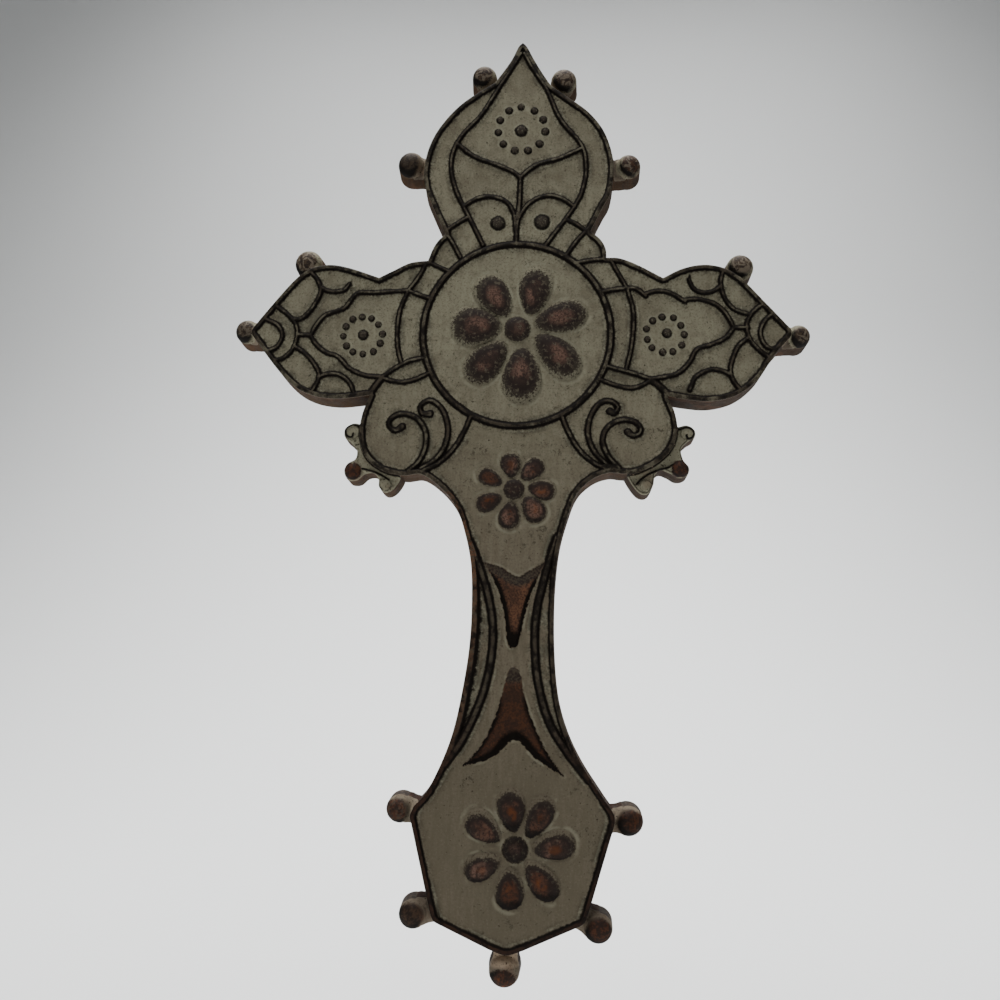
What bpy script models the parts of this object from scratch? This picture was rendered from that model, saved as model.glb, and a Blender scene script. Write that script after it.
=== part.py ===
# A cast wall cross: a round medallion with four lobed arms, raised line work,
# seed-petal flowers and ball knobs on short necks.
# Metres, +Z up. The flat back lies on Y = 0 and the carved front faces -Y.
# The origin is on the back, behind the middle of the medallion.

import math

import bmesh
import bpy
import numpy as np
from mathutils import Vector
from mathutils.geometry import delaunay_2d_cdt

# Driving dimensions, in metres
BODY_HEIGHT = 0.2961        # tip of the top lobe to the foot of the base, without knobs
THICKNESS = 0.012           # flat back to the crests of the line work
FIELD_DEPTH = 0.0009        # crests down to the plain fields between them
WALL_DRAFT = 0.0004         # how far the side walls spread towards the back
RIM_EDGE = 0.0004           # rounding of the rim's outer edge, across and down
RIM_CREST = 0.0014          # flat of the rim, measured in from the outline
RIM_SLOPE = 0.0005          # the rim's inner slope, seen from the front
LINE_CREST = 0.0008         # width of a drawn line's flat crest
LINE_SLOPE = 0.0005         # each of a drawn line's two slopes, seen from the front
RING_CREST = 0.0014         # width of the medallion ring's crest
SHAFT_LINE_CREST = 0.0013   # width of the shaft's inner lines
JOINT_CREST = 0.0018        # width where an arm's rim and a scroll's rim run together
DOT_RADIUS = 0.00125
DOT_HEIGHT = 0.0007
PETAL_RISE = 0.28           # a petal's height as a share of its half width
BOSS_RISE = 0.33            # a boss's height as a share of its radius
WEDGE_HEIGHT = 0.0012       # height of a shaft wedge at its lower end
WEDGE_START = 0.35          # its height at the upper end as a share of that
WEDGE_SLOPE = 0.0012        # edge of a wedge to its crest, seen from the front
KNOB_RADIUS = 0.0043
KNOB_FRONT = 0.0116         # back to the front of a ball knob
KNOB_DOME = 0.0036          # how much of that is its rounded end
NECK_WIDTH = 0.0076
NECK_LEVEL = 0.0084         # back to the top of a knob's neck
SKIRT_LEVEL = 0.0098        # back to the top of the web under each scroll
CURL_HEIGHT = 0.0014        # rise of each curl above its web
STEP_SLOPE = 0.00035        # slope of the body's wall where a neck or web meets it

# Fineness of the faceting
OUTLINE_TURN = math.radians(15)
LINE_TURN = math.radians(27)
CIRCLE_SIDES = 56
KNOB_SIDES = 16
PETAL_SIDES = 12
DOT_SIDES = 7
FLAT_TURN = math.radians(1.5)   # edges that bend less than this are left out
SHARP_TURN = math.radians(22)
MERGE = 0.00003             # plan points nearer than this become one
LEVEL_SLACK = 0.00004       # play allowed when a plan point is read as on an edge

# The drawing. Points are in drawn units from the medallion's middle: X right, Z up.
DRAWN_TIP = 103.8
DRAWN_FOOT = -192.3
UNIT = BODY_HEIGHT / (DRAWN_TIP - DRAWN_FOOT)

# The body's outline, clockwise from the tip. Each run is a smooth curve, and runs meet at corners.
OUTLINE = [
    [(0, DRAWN_TIP), (1.5, 102.2), (3.8, 97.8), (6.7, 92.8), (9.8, 88)],
    [(9.8, 88), (15.2, 84), (22.8, 78.1), (28.3, 70.4), (31.1, 60), (30.2, 50), (27.5, 44.3), (23.5, 36)],
    [(23.5, 36), (26.8, 33.2), (28.6, 30), (28.9, 26.8)],
    [(28.9, 26.8), (33.2, 26.6), (39, 24.4), (47.4, 19.9)],
    [(47.4, 19.9), (54, 23.2), (61, 24.5), (67.6, 23.3), (72.8, 20.2)],
    [(72.8, 20.2), (88.6, 2.8)],
    [(88.6, 2.8), (88.7, 1), (87.8, -0.3)],
    [(87.8, -0.3), (83, -6.1), (77.9, -13.8), (71.2, -19.2), (63, -21.4), (55, -20.9), (48.7, -19.8)],
    [(48.7, -19.8), (51.1, -25.5), (51.8, -31.5), (50, -37.2), (45.3, -41.9), (39.3, -45), (35, -45.5),
     (30.3, -45.2), (24.9, -47.3), (20, -52.1), (16.9, -60), (14.3, -70.5), (13.1, -84), (13.1, -100),
     (14.4, -115), (17.3, -126), (22.1, -136), (29.3, -146.7)],
    [(29.3, -146.7), (31.9, -150.4), (32.3, -153.2), (31.5, -156.5)],
    [(31.5, -156.5), (24.6, -179.6)],
    [(24.6, -179.6), (23.2, -182.6), (20.5, -184.1)],
    [(20.5, -184.1), (5, -190.9)],
    [(5, -190.9), (0, DRAWN_FOOT), (-5, -190.9)],
    [(-5, -190.9), (-19.8, -184.4)],
    [(-19.8, -184.4), (-22.2, -183.1), (-23.3, -180.4)],
    [(-23.3, -180.4), (-29.6, -155.6)],
    [(-29.6, -155.6), (-30.2, -152.8), (-29.1, -150)],
    [(-29.1, -150), (-25, -145), (-20.3, -135), (-17.1, -125), (-14.5, -111), (-13.1, -99), (-12.8, -87),
     (-13.4, -75), (-15.6, -65), (-18.6, -57), (-23.6, -50.9), (-30, -46.6), (-36, -47), (-42.5, -45.6),
     (-48.2, -41.3), (-50.6, -34.5), (-50.2, -27.5), (-47.8, -20.4)],
    [(-47.8, -20.4), (-54, -21.4), (-60.3, -21.8), (-67.4, -20.6), (-73.6, -17.3), (-79.6, -11.1),
     (-87.8, -0.5)],
    [(-87.8, -0.5), (-88.2, 0.9), (-87.2, 2.6)],
    [(-87.2, 2.6), (-80, 12), (-74, 19.1), (-69.2, 22.6), (-63, 23.9), (-56.2, 22.8), (-46.3, 19.5)],
    [(-46.3, 19.5), (-41.5, 22), (-36, 24.7), (-30.2, 25.5)],
    [(-30.2, 25.5), (-28.7, 29.6), (-27, 32.4), (-24.7, 34.8)],
    [(-24.7, 34.8), (-29.3, 44.9), (-31.9, 51.5), (-32.5, 58), (-31, 65.8), (-27.5, 73), (-21.5, 80.3),
     (-15, 85.4), (-9.2, 89.2)],
    [(-9.2, 89.2), (-6, 93.8), (-3.4, 98), (-1.5, 102.2), (0, DRAWN_TIP)],
]

RING_CENTRE = (-0.3, 0.6)
RING_RADIUS = 30.8

# The raised lines, each a smooth curve through its points
TOP_LOBE_LINES = {
    "leaf_left": [(-0.6, 99.8), (-3.8, 94), (-7.2, 88.5), (-13.5, 77.7), (-20, 70), (-23, 63.5),
                  (-23.2, 56.5), (-20.8, 48.5), (-16.5, 40), (-12, 31)],
    "leaf_right": [(0.6, 99.8), (3.6, 94.2), (8.4, 86.6), (13, 76), (20, 67), (21.9, 60), (21.3, 52.5),
                   (18.3, 44.8), (8.7, 31)],
    "brow_left": [(-21.8, 67.2), (-16, 62.6), (-8, 59.4), (-3, 57.2), (0, 54.8)],
    "brow_right": [(20.6, 65.4), (13, 61.8), (6, 59.7), (2.5, 57.4), (0, 54.8)],
    "stem": [(0, 54.8), (-0.2, 46), (-0.9, 38), (-1, 31.5)],
    "arch_left": [(-18.6, 44.8), (-14.5, 47.4), (-9.5, 48.1), (-4.5, 46.2), (-2, 42), (-1.3, 36)],
    "arch_right": [(-0.4, 40.5), (3, 45.7), (8.5, 48.4), (13.5, 47.7), (18.2, 44.5)],
    "bar_left": [(-24.2, 36.2), (-21, 38.5), (-17.3, 40.8)],
    "bar_right": [(15.3, 40.2), (18.7, 38.6), (22, 36.2)],
    "side_left": [(-25.4, 36.4), (-22.3, 32), (-19.4, 26.6)],
    "side_right": [(22.8, 37), (19, 32.5), (15.8, 27.8)],
    "shoulder_left": [(-29.8, 25), (-26.5, 23.3), (-23.3, 21.9)],
    "shoulder_right": [(28.6, 26.2), (24.5, 26), (19.2, 25)],
}
LEFT_ARM_LINES = {
    "neck_left": [(-30.5, 25), (-33, 20), (-36.4, 15.1)],
    "collar_left": [(-28.4, 12.2), (-32.5, 13.6), (-36.4, 15.1)],
    "bell_top_left": [(-36.4, 15.1), (-42, 14.8), (-48, 14.4), (-53.5, 14), (-57.2, 9.2), (-60, 8),
                      (-64, 6.3), (-66.8, 2.7), (-68.3, -0.5)],
    "bell_foot_left": [(-68.3, -0.5), (-66.5, -3.3), (-63, -6.2), (-59, -7.6), (-55, -11.5),
                       (-50, -13.8), (-44, -14.4)],
    "bell_tip_left": [(-68.3, -0.4), (-72.8, -0.2)],
    "bell_side_left": [(-44, -14.4), (-39, -10.8), (-35, -8.8), (-30.2, -7.8)],
    "cuff_left": [(-36.4, 15), (-38.9, 8.5), (-39.6, 1), (-39.1, -5), (-37.8, -10)],
    "lens_left": [(-44, -14.6), (-40.5, -15.7), (-36.5, -16), (-32, -14.6), (-27.8, -12.4)],
    "tip_arc_left": [(-80.3, 9.6), (-76.5, 6.8), (-73.5, 3.3), (-72.8, -0.3), (-74, -5), (-77, -8.2),
                     (-80.4, -9.2)],
    "tip_inner_left": [(-83.4, 4.9), (-79.5, 3), (-77.8, -0.5), (-79.2, -4.2), (-82.8, -6.1)],
    "upper_cell_left": [(-69.5, 21.6), (-66.8, 18.5), (-65.7, 14.5), (-68.3, 8.8), (-71.5, 5.4),
                        (-74.6, 4.9)],
    "hook_left": [(-66, 16.4), (-63.5, 15), (-60.5, 14.6), (-57.6, 15.4), (-56.1, 17.4)],
    "lower_cell_left": [(-73.4, -4.2), (-69, -7.4), (-65.5, -12), (-65, -15.2), (-67, -19.6)],
    "arch_cell_left": [(-65.2, -14.6), (-62, -13.5), (-58, -13.8), (-54.7, -16.5), (-53, -20.2)],
}
RIGHT_ARM_LINES = {
    "neck_right": [(30.3, 26), (33, 21), (35.6, 16.4)],
    "collar_right": [(27, 14.9), (31, 15.8), (35.6, 16.4)],
    "bell_top_a_right": [(35.6, 16.4), (38.8, 16.1), (41.8, 13.7)],
    "bell_top_b_right": [(41.4, 14.3), (45.5, 15.5), (50, 14.7), (54.6, 11.9)],
    "bell_top_c_right": [(54.2, 12.4), (59, 12.7), (64.5, 11), (68, 7.5), (70.2, 3.2)],
    "bell_tip_right": [(70.2, 3.2), (74.8, 3.3)],
    "bell_foot_right": [(70.2, 3.1), (67.5, -0.3), (63, -2.5), (58.3, -4.2), (55.8, -8.6), (51.5, -12.5),
                        (43.3, -14.3)],
    "bell_side_right": [(43.3, -14.3), (37.5, -12.3), (29, -10.1)],
    "cuff_right": [(35.6, 16.4), (37.6, 9.5), (37.8, 3), (37, -4.5), (35.4, -11.3)],
    "lens_right": [(43.3, -14.8), (40, -16.6), (36.5, -17.3), (32, -16.4), (27, -14.6)],
    "tip_arc_right": [(79.9, 11.4), (76.5, 8.6), (74.4, 4.5), (75.2, -0.3), (77.8, -3.8), (81.2, -6.6)],
    "tip_inner_right": [(82.9, 8), (80, 5.3), (78.7, 1.3), (80.2, -2.7), (83.6, -4.3)],
    "upper_cell_right": [(67, 22.6), (66.2, 18.5), (67.3, 13.5), (70.2, 9.6), (75.2, 7.6)],
    "hook_right": [(55.9, 19.3), (57.3, 16.4), (60.2, 15), (63.5, 15.4), (66.4, 17.3)],
    "lower_cell_right": [(75, 0), (71.5, -3.2), (69.4, -8.5), (69, -12), (70.3, -15.3), (72.3, -17.6)],
    "arch_cell_right": [(55.9, -17.7), (58, -13.3), (62.5, -11), (66.3, -11.3), (69.2, -12.8)],
}
SCROLL_LINES = {
    "scroll_big_left": [(-34.6, -45.6), (-31, -42.2), (-29.1, -37.5), (-29.2, -32.5), (-32.2, -28),
                        (-36.8, -26.6), (-40.3, -28), (-41.2, -30.5), (-39.2, -32.2), (-36.9, -31)],
    "scroll_small_left": [(-30.5, -44.6), (-26, -41.8), (-22.9, -37.5), (-21.9, -31.5), (-23.8, -25.3),
                          (-27.8, -22.1), (-31, -23.8), (-30.6, -26.4), (-27.9, -26.6)],
    "root_left": [(-14.6, -27.2), (-17, -33), (-20.5, -38.7), (-25, -43), (-30, -45.4)],
    "scroll_big_right": [(33.5, -43.8), (29.8, -39.8), (28, -35), (29.2, -30.8), (32.8, -28.2),
                         (36.8, -27.9), (39.8, -29.8), (39.8, -32.2), (37.6, -33), (36, -31.9)],
    "scroll_small_right": [(29.5, -42.6), (25.5, -38.5), (23.3, -33), (24, -27), (27, -22.5),
                           (30.5, -21.7), (32.8, -23.6), (31.8, -25.6), (30.2, -25.1)],
    "root_right": [(14.8, -26.8), (16.5, -31), (20, -37.2), (24.5, -41.5), (29.2, -44)],
}
SHAFT_LINES = {
    "shaft_left": [(-13.4, -68), (-10.4, -76.5), (-7.4, -86), (-5.9, -97), (-7, -109), (-10.3, -120),
                   (-15, -130), (-19.8, -137)],
    "shaft_right": [(13.4, -66), (10, -79), (7.8, -89), (7.2, -99), (8.4, -111.5), (12, -123.5),
                    (17.5, -132.3), (24.4, -140.8)],
}
JOINT_LINES = {
    "joint_left": [(-44, -14.6), (-46.2, -17.6), (-48, -20.6)],
    "joint_right": [(43.3, -14.4), (46.8, -17.2), (50, -20.2)],
}

# Wedges on the shaft, as closed outlines
WEDGES = {
    "wedge_upper": [(-9.2, -74.6), (-4, -76), (1.4, -78.9), (5.5, -76.8), (10, -74.2), (6.8, -81.5),
                    (4.3, -89), (2.7, -96.5), (1.9, -100.3), (0.4, -101.2), (-1.2, -100), (-1.9, -94.5),
                    (-3.2, -87.5), (-5.8, -80.5)],
    "wedge_lower": [(1, -107), (2.7, -109), (4, -115.5), (7, -124), (11.5, -133), (16.8, -139.9),
                    (8, -134.6), (1.5, -129.2), (-5.5, -134.7), (-14.5, -137.6), (-9, -131.5),
                    (-5.2, -124), (-2.6, -115.5), (-0.9, -109)],
}

# Flowers: the boss, then each petal as middle, half length, half width and direction in degrees
PETAL_SWELL = 0.22          # how much wider a petal is at its outer end
FLOWERS = {
    "medallion": {
        "boss": ((-0.2, 2.2), 4.4),
        "petals": [((5.6, 15.5), 8.2, 4.8, 80), ((14, 6.4), 8.7, 4.7, 16),
                   ((13, -6.6), 9.2, 5.1, -45), ((1.7, -13.4), 9.0, 5.7, -91),
                   ((-10, -8.8), 8.4, 5.1, -132), ((-13.7, 3.1), 8.2, 5.9, 180),
                   ((-8, 13.3), 7.8, 4.9, 128)],
    },
    "shaft": {
        "boss": ((-0.2, -51), 3.4),
        "petals": [((-1.3, -43), 4.1, 3.0, 98), ((5.5, -44.4), 4.4, 2.9, 45),
                   ((8.8, -50.8), 4.4, 2.9, -12), ((5.9, -57.2), 4.7, 3.3, -50),
                   ((-1.4, -59.4), 4.5, 3.1, -97), ((-8.2, -55), 4.3, 2.7, -156),
                   ((-8, -47.2), 4.2, 2.5, 155)],
    },
    "base": {
        "boss": ((2.2, -161.9), 4.0),
        "petals": [((0.8, -150.2), 6.4, 3.9, 97), ((9.2, -152.2), 6.6, 3.5, 62),
                   ((13.9, -160.3), 6.4, 3.9, 8), ((10.2, -170.5), 6.8, 3.8, -50),
                   ((0.8, -173.2), 6.1, 3.9, -93), ((-7.6, -166.9), 5.7, 3.6, -155),
                   ((-7.6, -155.5), 6.1, 3.8, 142)],
    },
}

# Rings of dots: middle, ring radius, number of dots and direction of the first in degrees
DOT_RINGS = [((0.1, 72.4), 8.0, 11, 90), ((-51, -0.2), 6.4, 12, 4), ((48.1, 0.8), 6.2, 11, 98)]
# Single dots: middle and radius as a multiple of DOT_RADIUS
SINGLE_DOTS = [((0, 71.8), 1.4), ((-51, 0), 1.55), ((48.7, 1.2), 1.45), ((-7.5, 38.7), 1.75),
               ((7.7, 39.3), 1.85)]

# Knobs: middle, where the neck enters the body, and radius as a multiple of KNOB_RADIUS
KNOBS = [
    ((-13, 92.7), (-9.2, 86), 0.98), ((14.2, 91.3), (11.2, 84.5), 1.02),
    ((-37.3, 60.9), (-29.5, 59.5), 1.04), ((36.3, 60.3), (28, 59), 0.95),
    ((-70.9, 25.4), (-67.5, 19.5), 1.07), ((73.2, 24.8), (69.3, 18.6), 1.02),
    ((-90.3, 1.5), (-84, 1), 0.93), ((91.7, 1.3), (84, 1), 0.88),
    ((-33.8, -151.2), (-26.5, -152.6), 0.99), ((36.8, -153), (29, -153.2), 1.05),
    ((-28.7, -182.1), (-20.5, -180.5), 1.02), ((27.7, -184.6), (20.5, -180.8), 1.03),
    ((-0.5, -197.8), (0, -189), 1.09),
]

# The webs under the scrolls: outlines that start and end inside the body, and their curls
WEBS = [
    [(-47, -30.5), (-50.6, -29.8), (-53.5, -29.5), (-56, -31.2), (-56, -34), (-54, -35.8),
     (-51.9, -38.2), (-52.2, -41.2), (-54.9, -43), (-55.7, -45.6), (-54.3, -48.2), (-51.4, -48.3),
     (-49, -46.3), (-46.2, -45.9), (-44.4, -47.6), (-44.1, -50.3), (-42.3, -52.2), (-40, -51.6),
     (-37.8, -48.9), (-36, -44.5)],
    [(48, -30), (52, -29.6), (55.2, -28.9), (57.7, -30.5), (57.7, -32.8), (55.4, -34.4), (53.4, -36.8),
     (54, -40.2), (55.9, -42.8), (55.2, -45.4), (52.4, -46.1), (49.6, -44.6), (46.9, -43.8), (45, -45.3),
     (44.4, -48.6), (42.8, -51.4), (40.4, -51.5), (37.8, -48.8), (34.5, -43)],
]
CURLS = [((-53.4, -32.5), 2.4), ((-52.8, -45.5), 2.8), ((-42.1, -49.9), 2.1),
         ((55.4, -31.6), 2.4), ((52.9, -43.3), 2.7), ((42, -49.2), 2.1)]


def clear_scene():
    for item in list(bpy.data.objects):
        bpy.data.objects.remove(item)


def drawn(points):
    # Drawn units to metres
    return np.array(points, float).reshape(-1, 2) * UNIT


def smooth_run(points, turn):
    # A Catmull-Rom curve through the points, with a new point for each step of turning
    if len(points) < 3:
        return points
    first = 2 * points[0] - points[1]
    last = 2 * points[-1] - points[-2]
    padded = np.vstack([first, points, last])
    made = [points[0]]
    for i in range(1, len(points)):
        before, start, end, after = padded[i - 1 : i + 3]
        leaving = (end - before) / 2
        arriving = (after - start) / 2
        steps = span_steps(leaving, end - start, arriving, turn)
        for k in range(1, steps + 1):
            t = k / steps
            made.append(
                (2 * t**3 - 3 * t**2 + 1) * start
                + (t**3 - 2 * t**2 + t) * leaving
                + (3 * t**2 - 2 * t**3) * end
                + (t**3 - t**2) * arriving
            )
    return np.array(made)


def span_steps(leaving, chord, arriving, turn):
    total = 0.0
    for a, b in ((leaving, chord), (chord, arriving)):
        total += abs(math.atan2(a[0] * b[1] - a[1] * b[0], a @ b))
    return max(1, math.ceil(total / turn))


def circle(centre, radius, sides, phase=0.0):
    angles = phase + np.arange(sides) * 2 * math.pi / sides
    return np.asarray(centre) + radius * np.column_stack([np.cos(angles), np.sin(angles)])


def outline_loop():
    made = []
    for run in OUTLINE:
        made.extend(smooth_run(drawn(run), OUTLINE_TURN)[:-1])
    return np.array(made)


def path_normals(path, closed):
    # Unit normals to the left of the path, longer at a corner so that offsets stay parallel
    if closed:
        ahead = np.roll(path, -1, axis=0) - path
        behind = path - np.roll(path, 1, axis=0)
    else:
        ahead = np.vstack([path[1:] - path[:-1], path[-1] - path[-2]])
        behind = np.vstack([path[1] - path[0], path[1:] - path[:-1]])
    ahead = ahead / np.linalg.norm(ahead, axis=1)[:, None]
    behind = behind / np.linalg.norm(behind, axis=1)[:, None]
    along = ahead + behind
    along = along / np.linalg.norm(along, axis=1)[:, None]
    normal = np.column_stack([-along[:, 1], along[:, 0]])
    stretch = np.clip((along * ahead).sum(axis=1), 0.35, 1.0)
    return normal / stretch[:, None]


def offset_path(path, distance, closed=False):
    return path + path_normals(path, closed) * distance


def line_loop(path, half_width):
    # The outline of a drawn line: out along one side and back along the other
    return np.vstack([offset_path(path, half_width), offset_path(path, -half_width)[::-1]])


def petal_loop(petal, share, sides):
    # An egg outline, wider at its outer end. A share of 1 is the petal's edge.
    centre, half_length, half_width, direction = petal
    angles = np.arange(sides) * 2 * math.pi / sides
    along = np.cos(angles) * share
    across = np.sin(angles) * share * (1 + PETAL_SWELL * along)
    turned = math.radians(direction)
    u = along * half_length
    v = across * half_width
    x = centre[0] + u * math.cos(turned) - v * math.sin(turned)
    z = centre[1] + u * math.sin(turned) + v * math.cos(turned)
    return drawn(np.column_stack([x, z]))


def neck_loop(knob):
    # A short straight bar from the middle of the knob into the body
    centre, foot, _ = knob
    return line_loop(drawn([centre, foot]), NECK_WIDTH / 2)


def distance_to_path(points, path, closed=False):
    ends = np.roll(path, -1, axis=0) if closed else path[1:]
    starts = path if closed else path[:-1]
    nearest = np.full(len(points), 1e9)
    for a, b in zip(starts, ends):
        ab = b - a
        t = np.clip(((points - a) @ ab) / (ab @ ab), 0, 1)
        gap = np.linalg.norm(points - a - t[:, None] * ab, axis=1)
        nearest = np.minimum(nearest, gap)
    return nearest


def inside_loop(points, loop):
    x, z = points[:, 0], points[:, 1]
    crossings = np.zeros(len(points), int)
    for (x1, z1), (x2, z2) in zip(loop, np.roll(loop, -1, axis=0)):
        if z1 == z2:
            continue
        spans = (z1 > z) != (z2 > z)
        crossings += spans & (x < x1 + (z - z1) * (x2 - x1) / (z2 - z1))
    return crossings % 2 == 1


def ramp(distance, flat, slope):
    # 1 up to the flat, 0 past the slope, and straight in between
    share = 1 - (distance - flat) / slope
    share = np.where(distance <= flat + LEVEL_SLACK, 1.0, share)
    share = np.where(distance >= flat + slope - LEVEL_SLACK, 0.0, share)
    return np.clip(share, 0, 1)


def dome(distance, radius):
    # 1 at the middle, falling steeply to 0 at the radius
    return np.sqrt(np.clip(1 - (distance / radius) ** 2, 0, 1))


def pillow(distance, radius):
    # Like the dome, with a broader top and steeper sides
    return np.sqrt(np.clip(1 - np.abs(distance / radius) ** 3, 0, 1))


def all_lines():
    # Every raised line with the width of its crest
    groups = [
        (TOP_LOBE_LINES, LINE_CREST),
        (LEFT_ARM_LINES, LINE_CREST),
        (RIGHT_ARM_LINES, LINE_CREST),
        (SCROLL_LINES, LINE_CREST),
        (SHAFT_LINES, SHAFT_LINE_CREST),
        (JOINT_LINES, JOINT_CREST),
    ]
    return [(smooth_run(drawn(path), LINE_TURN), crest) for lines, crest in groups for path in lines.values()]


def all_dots():
    # Every dot's middle and radius
    made = []
    for centre, radius, count, first in DOT_RINGS:
        for place in circle(drawn(centre)[0], radius * UNIT, count, math.radians(first)):
            made.append((place, DOT_RADIUS))
    for centre, size in SINGLE_DOTS:
        made.append((drawn(centre)[0], size * DOT_RADIUS))
    return made


def petal_share(points, petal):
    # 0 at the petal's middle and 1 on its edge
    centre, half_length, half_width, direction = petal
    turned = math.radians(direction)
    offset = points - drawn(centre)[0]
    u = (offset[:, 0] * math.cos(turned) + offset[:, 1] * math.sin(turned)) / (half_length * UNIT)
    v = (offset[:, 1] * math.cos(turned) - offset[:, 0] * math.sin(turned)) / (half_width * UNIT)
    swell = 1 + PETAL_SWELL * np.clip(u, -1, 1)
    return np.sqrt(u**2 + (v / swell) ** 2)


class Plan:
    # The points and edges that the faceted front has to follow, seen from the front

    def __init__(self):
        self.points = []
        self.edges = []

    def add(self, path, closed=False):
        first = len(self.points)
        self.points.extend(path)
        last = len(path) - 1
        self.edges.extend((first + i, first + i + 1) for i in range(last))
        if closed:
            self.edges.append((first + last, first))


def draw_body(plan, outline):
    for inset in (0.0, RIM_EDGE, RIM_CREST, RIM_CREST + RIM_SLOPE):
        plan.add(offset_path(outline, -inset, closed=True), closed=True)
    plan.add(offset_path(outline, STEP_SLOPE, closed=True), closed=True)
    crest = RING_CREST / 2
    for spread in (-crest - LINE_SLOPE, -crest, crest, crest + LINE_SLOPE):
        plan.add(circle(drawn(RING_CENTRE)[0], RING_RADIUS * UNIT + spread, CIRCLE_SIDES), closed=True)


def draw_lines(plan):
    for path, crest in all_lines():
        plan.add(line_loop(path, crest / 2), closed=True)
        plan.add(line_loop(path, crest / 2 + LINE_SLOPE), closed=True)


def draw_ornaments(plan):
    for place, radius in all_dots():
        plan.add(circle(place, radius, DOT_SIDES), closed=True)
        plan.add([place])
    for flower in FLOWERS.values():
        centre, radius = flower["boss"]
        for share in (1.0, 0.82, 0.4):
            plan.add(circle(drawn(centre)[0], radius * share * UNIT, PETAL_SIDES), closed=True)
        for petal in flower["petals"]:
            plan.add(petal_loop(petal, 1.0, PETAL_SIDES), closed=True)
            plan.add(petal_loop(petal, 0.82, PETAL_SIDES), closed=True)
            plan.add(petal_loop(petal, 0.4, PETAL_SIDES // 2), closed=True)
    for wedge in WEDGES.values():
        plan.add(drawn(wedge), closed=True)
        plan.add(offset_path(drawn(wedge), -WEDGE_SLOPE, closed=True), closed=True)


def draw_low_parts(plan):
    for knob in KNOBS:
        centre, _, size = knob
        plan.add(neck_loop(knob), closed=True)
        for share in (1.0, 0.85, 0.5):
            plan.add(circle(drawn(centre)[0], KNOB_RADIUS * size * share, KNOB_SIDES), closed=True)
    for web in WEBS:
        plan.add(smooth_run(drawn(web), LINE_TURN), closed=True)
    for centre, radius in CURLS:
        plan.add(circle(drawn(centre)[0], radius * UNIT, DOT_SIDES), closed=True)
        plan.add(circle(drawn(centre)[0], radius * UNIT * 0.6, DOT_SIDES), closed=True)


def carved_height(points, outline):
    # Height of the carved front above the flat back, inside the body's outline
    field = THICKNESS - FIELD_DEPTH
    height = np.full(len(points), field)
    from_edge = distance_to_path(points, outline, closed=True)
    height = np.maximum(height, field + FIELD_DEPTH * ramp(from_edge, RIM_CREST, RIM_SLOPE))
    from_ring = np.abs(np.linalg.norm(points - drawn(RING_CENTRE)[0], axis=1) - RING_RADIUS * UNIT)
    height = np.maximum(height, field + FIELD_DEPTH * ramp(from_ring, RING_CREST / 2, LINE_SLOPE))
    for path, crest in all_lines():
        from_line = distance_to_path(points, path)
        height = np.maximum(height, field + FIELD_DEPTH * ramp(from_line, crest / 2, LINE_SLOPE))
    for place, radius in all_dots():
        from_dot = np.linalg.norm(points - place, axis=1)
        height = np.maximum(height, field + DOT_HEIGHT * dome(from_dot, radius))
    for flower in FLOWERS.values():
        centre, radius = flower["boss"]
        from_boss = np.linalg.norm(points - drawn(centre)[0], axis=1)
        rise = BOSS_RISE * radius * UNIT
        height = np.maximum(height, field + rise * pillow(from_boss, radius * UNIT))
        for petal in flower["petals"]:
            rise = PETAL_RISE * petal[2] * UNIT
            height = np.maximum(height, field + rise * pillow(petal_share(points, petal), 1.0))
    for wedge in WEDGES.values():
        height = np.maximum(height, field + wedge_height(points, drawn(wedge)))
    rounded = RIM_EDGE * np.clip(1 - from_edge / (RIM_EDGE - LEVEL_SLACK), 0, 1)
    return height - rounded


def wedge_height(points, wedge):
    # Rises from a wedge's upper end to its lower end, with sloped sides
    from_edge = distance_to_path(points, wedge, closed=True)
    side = np.clip(from_edge / WEDGE_SLOPE, 0, 1) * inside_loop(points, wedge)
    top, foot = wedge[:, 1].max(), wedge[:, 1].min()
    fallen = np.clip((top - points[:, 1]) / (top - foot), 0, 1)
    return WEDGE_HEIGHT * side * (WEDGE_START + (1 - WEDGE_START) * fallen)


def low_height(points):
    # Height of the knobs, necks and webs outside the body's outline, and 0 where there are none
    height = np.zeros(len(points))
    for web in WEBS:
        within = inside_or_on(points, smooth_run(drawn(web), LINE_TURN))
        height = np.maximum(height, within * SKIRT_LEVEL)
    for centre, radius in CURLS:
        from_curl = np.linalg.norm(points - drawn(centre)[0], axis=1)
        rise = CURL_HEIGHT * dome(from_curl, radius * UNIT)
        height = np.where(height > 0, np.maximum(height, SKIRT_LEVEL + rise), height)
    for knob in KNOBS:
        centre, _, size = knob
        radius = KNOB_RADIUS * size
        height = np.maximum(height, inside_or_on(points, neck_loop(knob)) * NECK_LEVEL)
        from_knob = np.linalg.norm(points - drawn(centre)[0], axis=1)
        ball = KNOB_FRONT - KNOB_DOME + KNOB_DOME * dome(from_knob, radius)
        height = np.maximum(height, (from_knob <= radius + LEVEL_SLACK) * ball)
    return height


def inside_or_on(points, loop):
    return inside_loop(points, loop) | (distance_to_path(points, loop, closed=True) < LEVEL_SLACK)


def front_height(points, outline):
    carved = carved_height(points, outline)
    from_edge = distance_to_path(points, outline, closed=True)
    body = inside_loop(points, outline) | (from_edge < LEVEL_SLACK)
    low = low_height(points)
    edge = THICKNESS - RIM_EDGE
    fall = np.clip(from_edge / (STEP_SLOPE - LEVEL_SLACK), 0, 1)
    outside = np.where(low > 0, edge + (low - edge) * fall, edge)
    return np.where(body, carved, outside)


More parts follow.
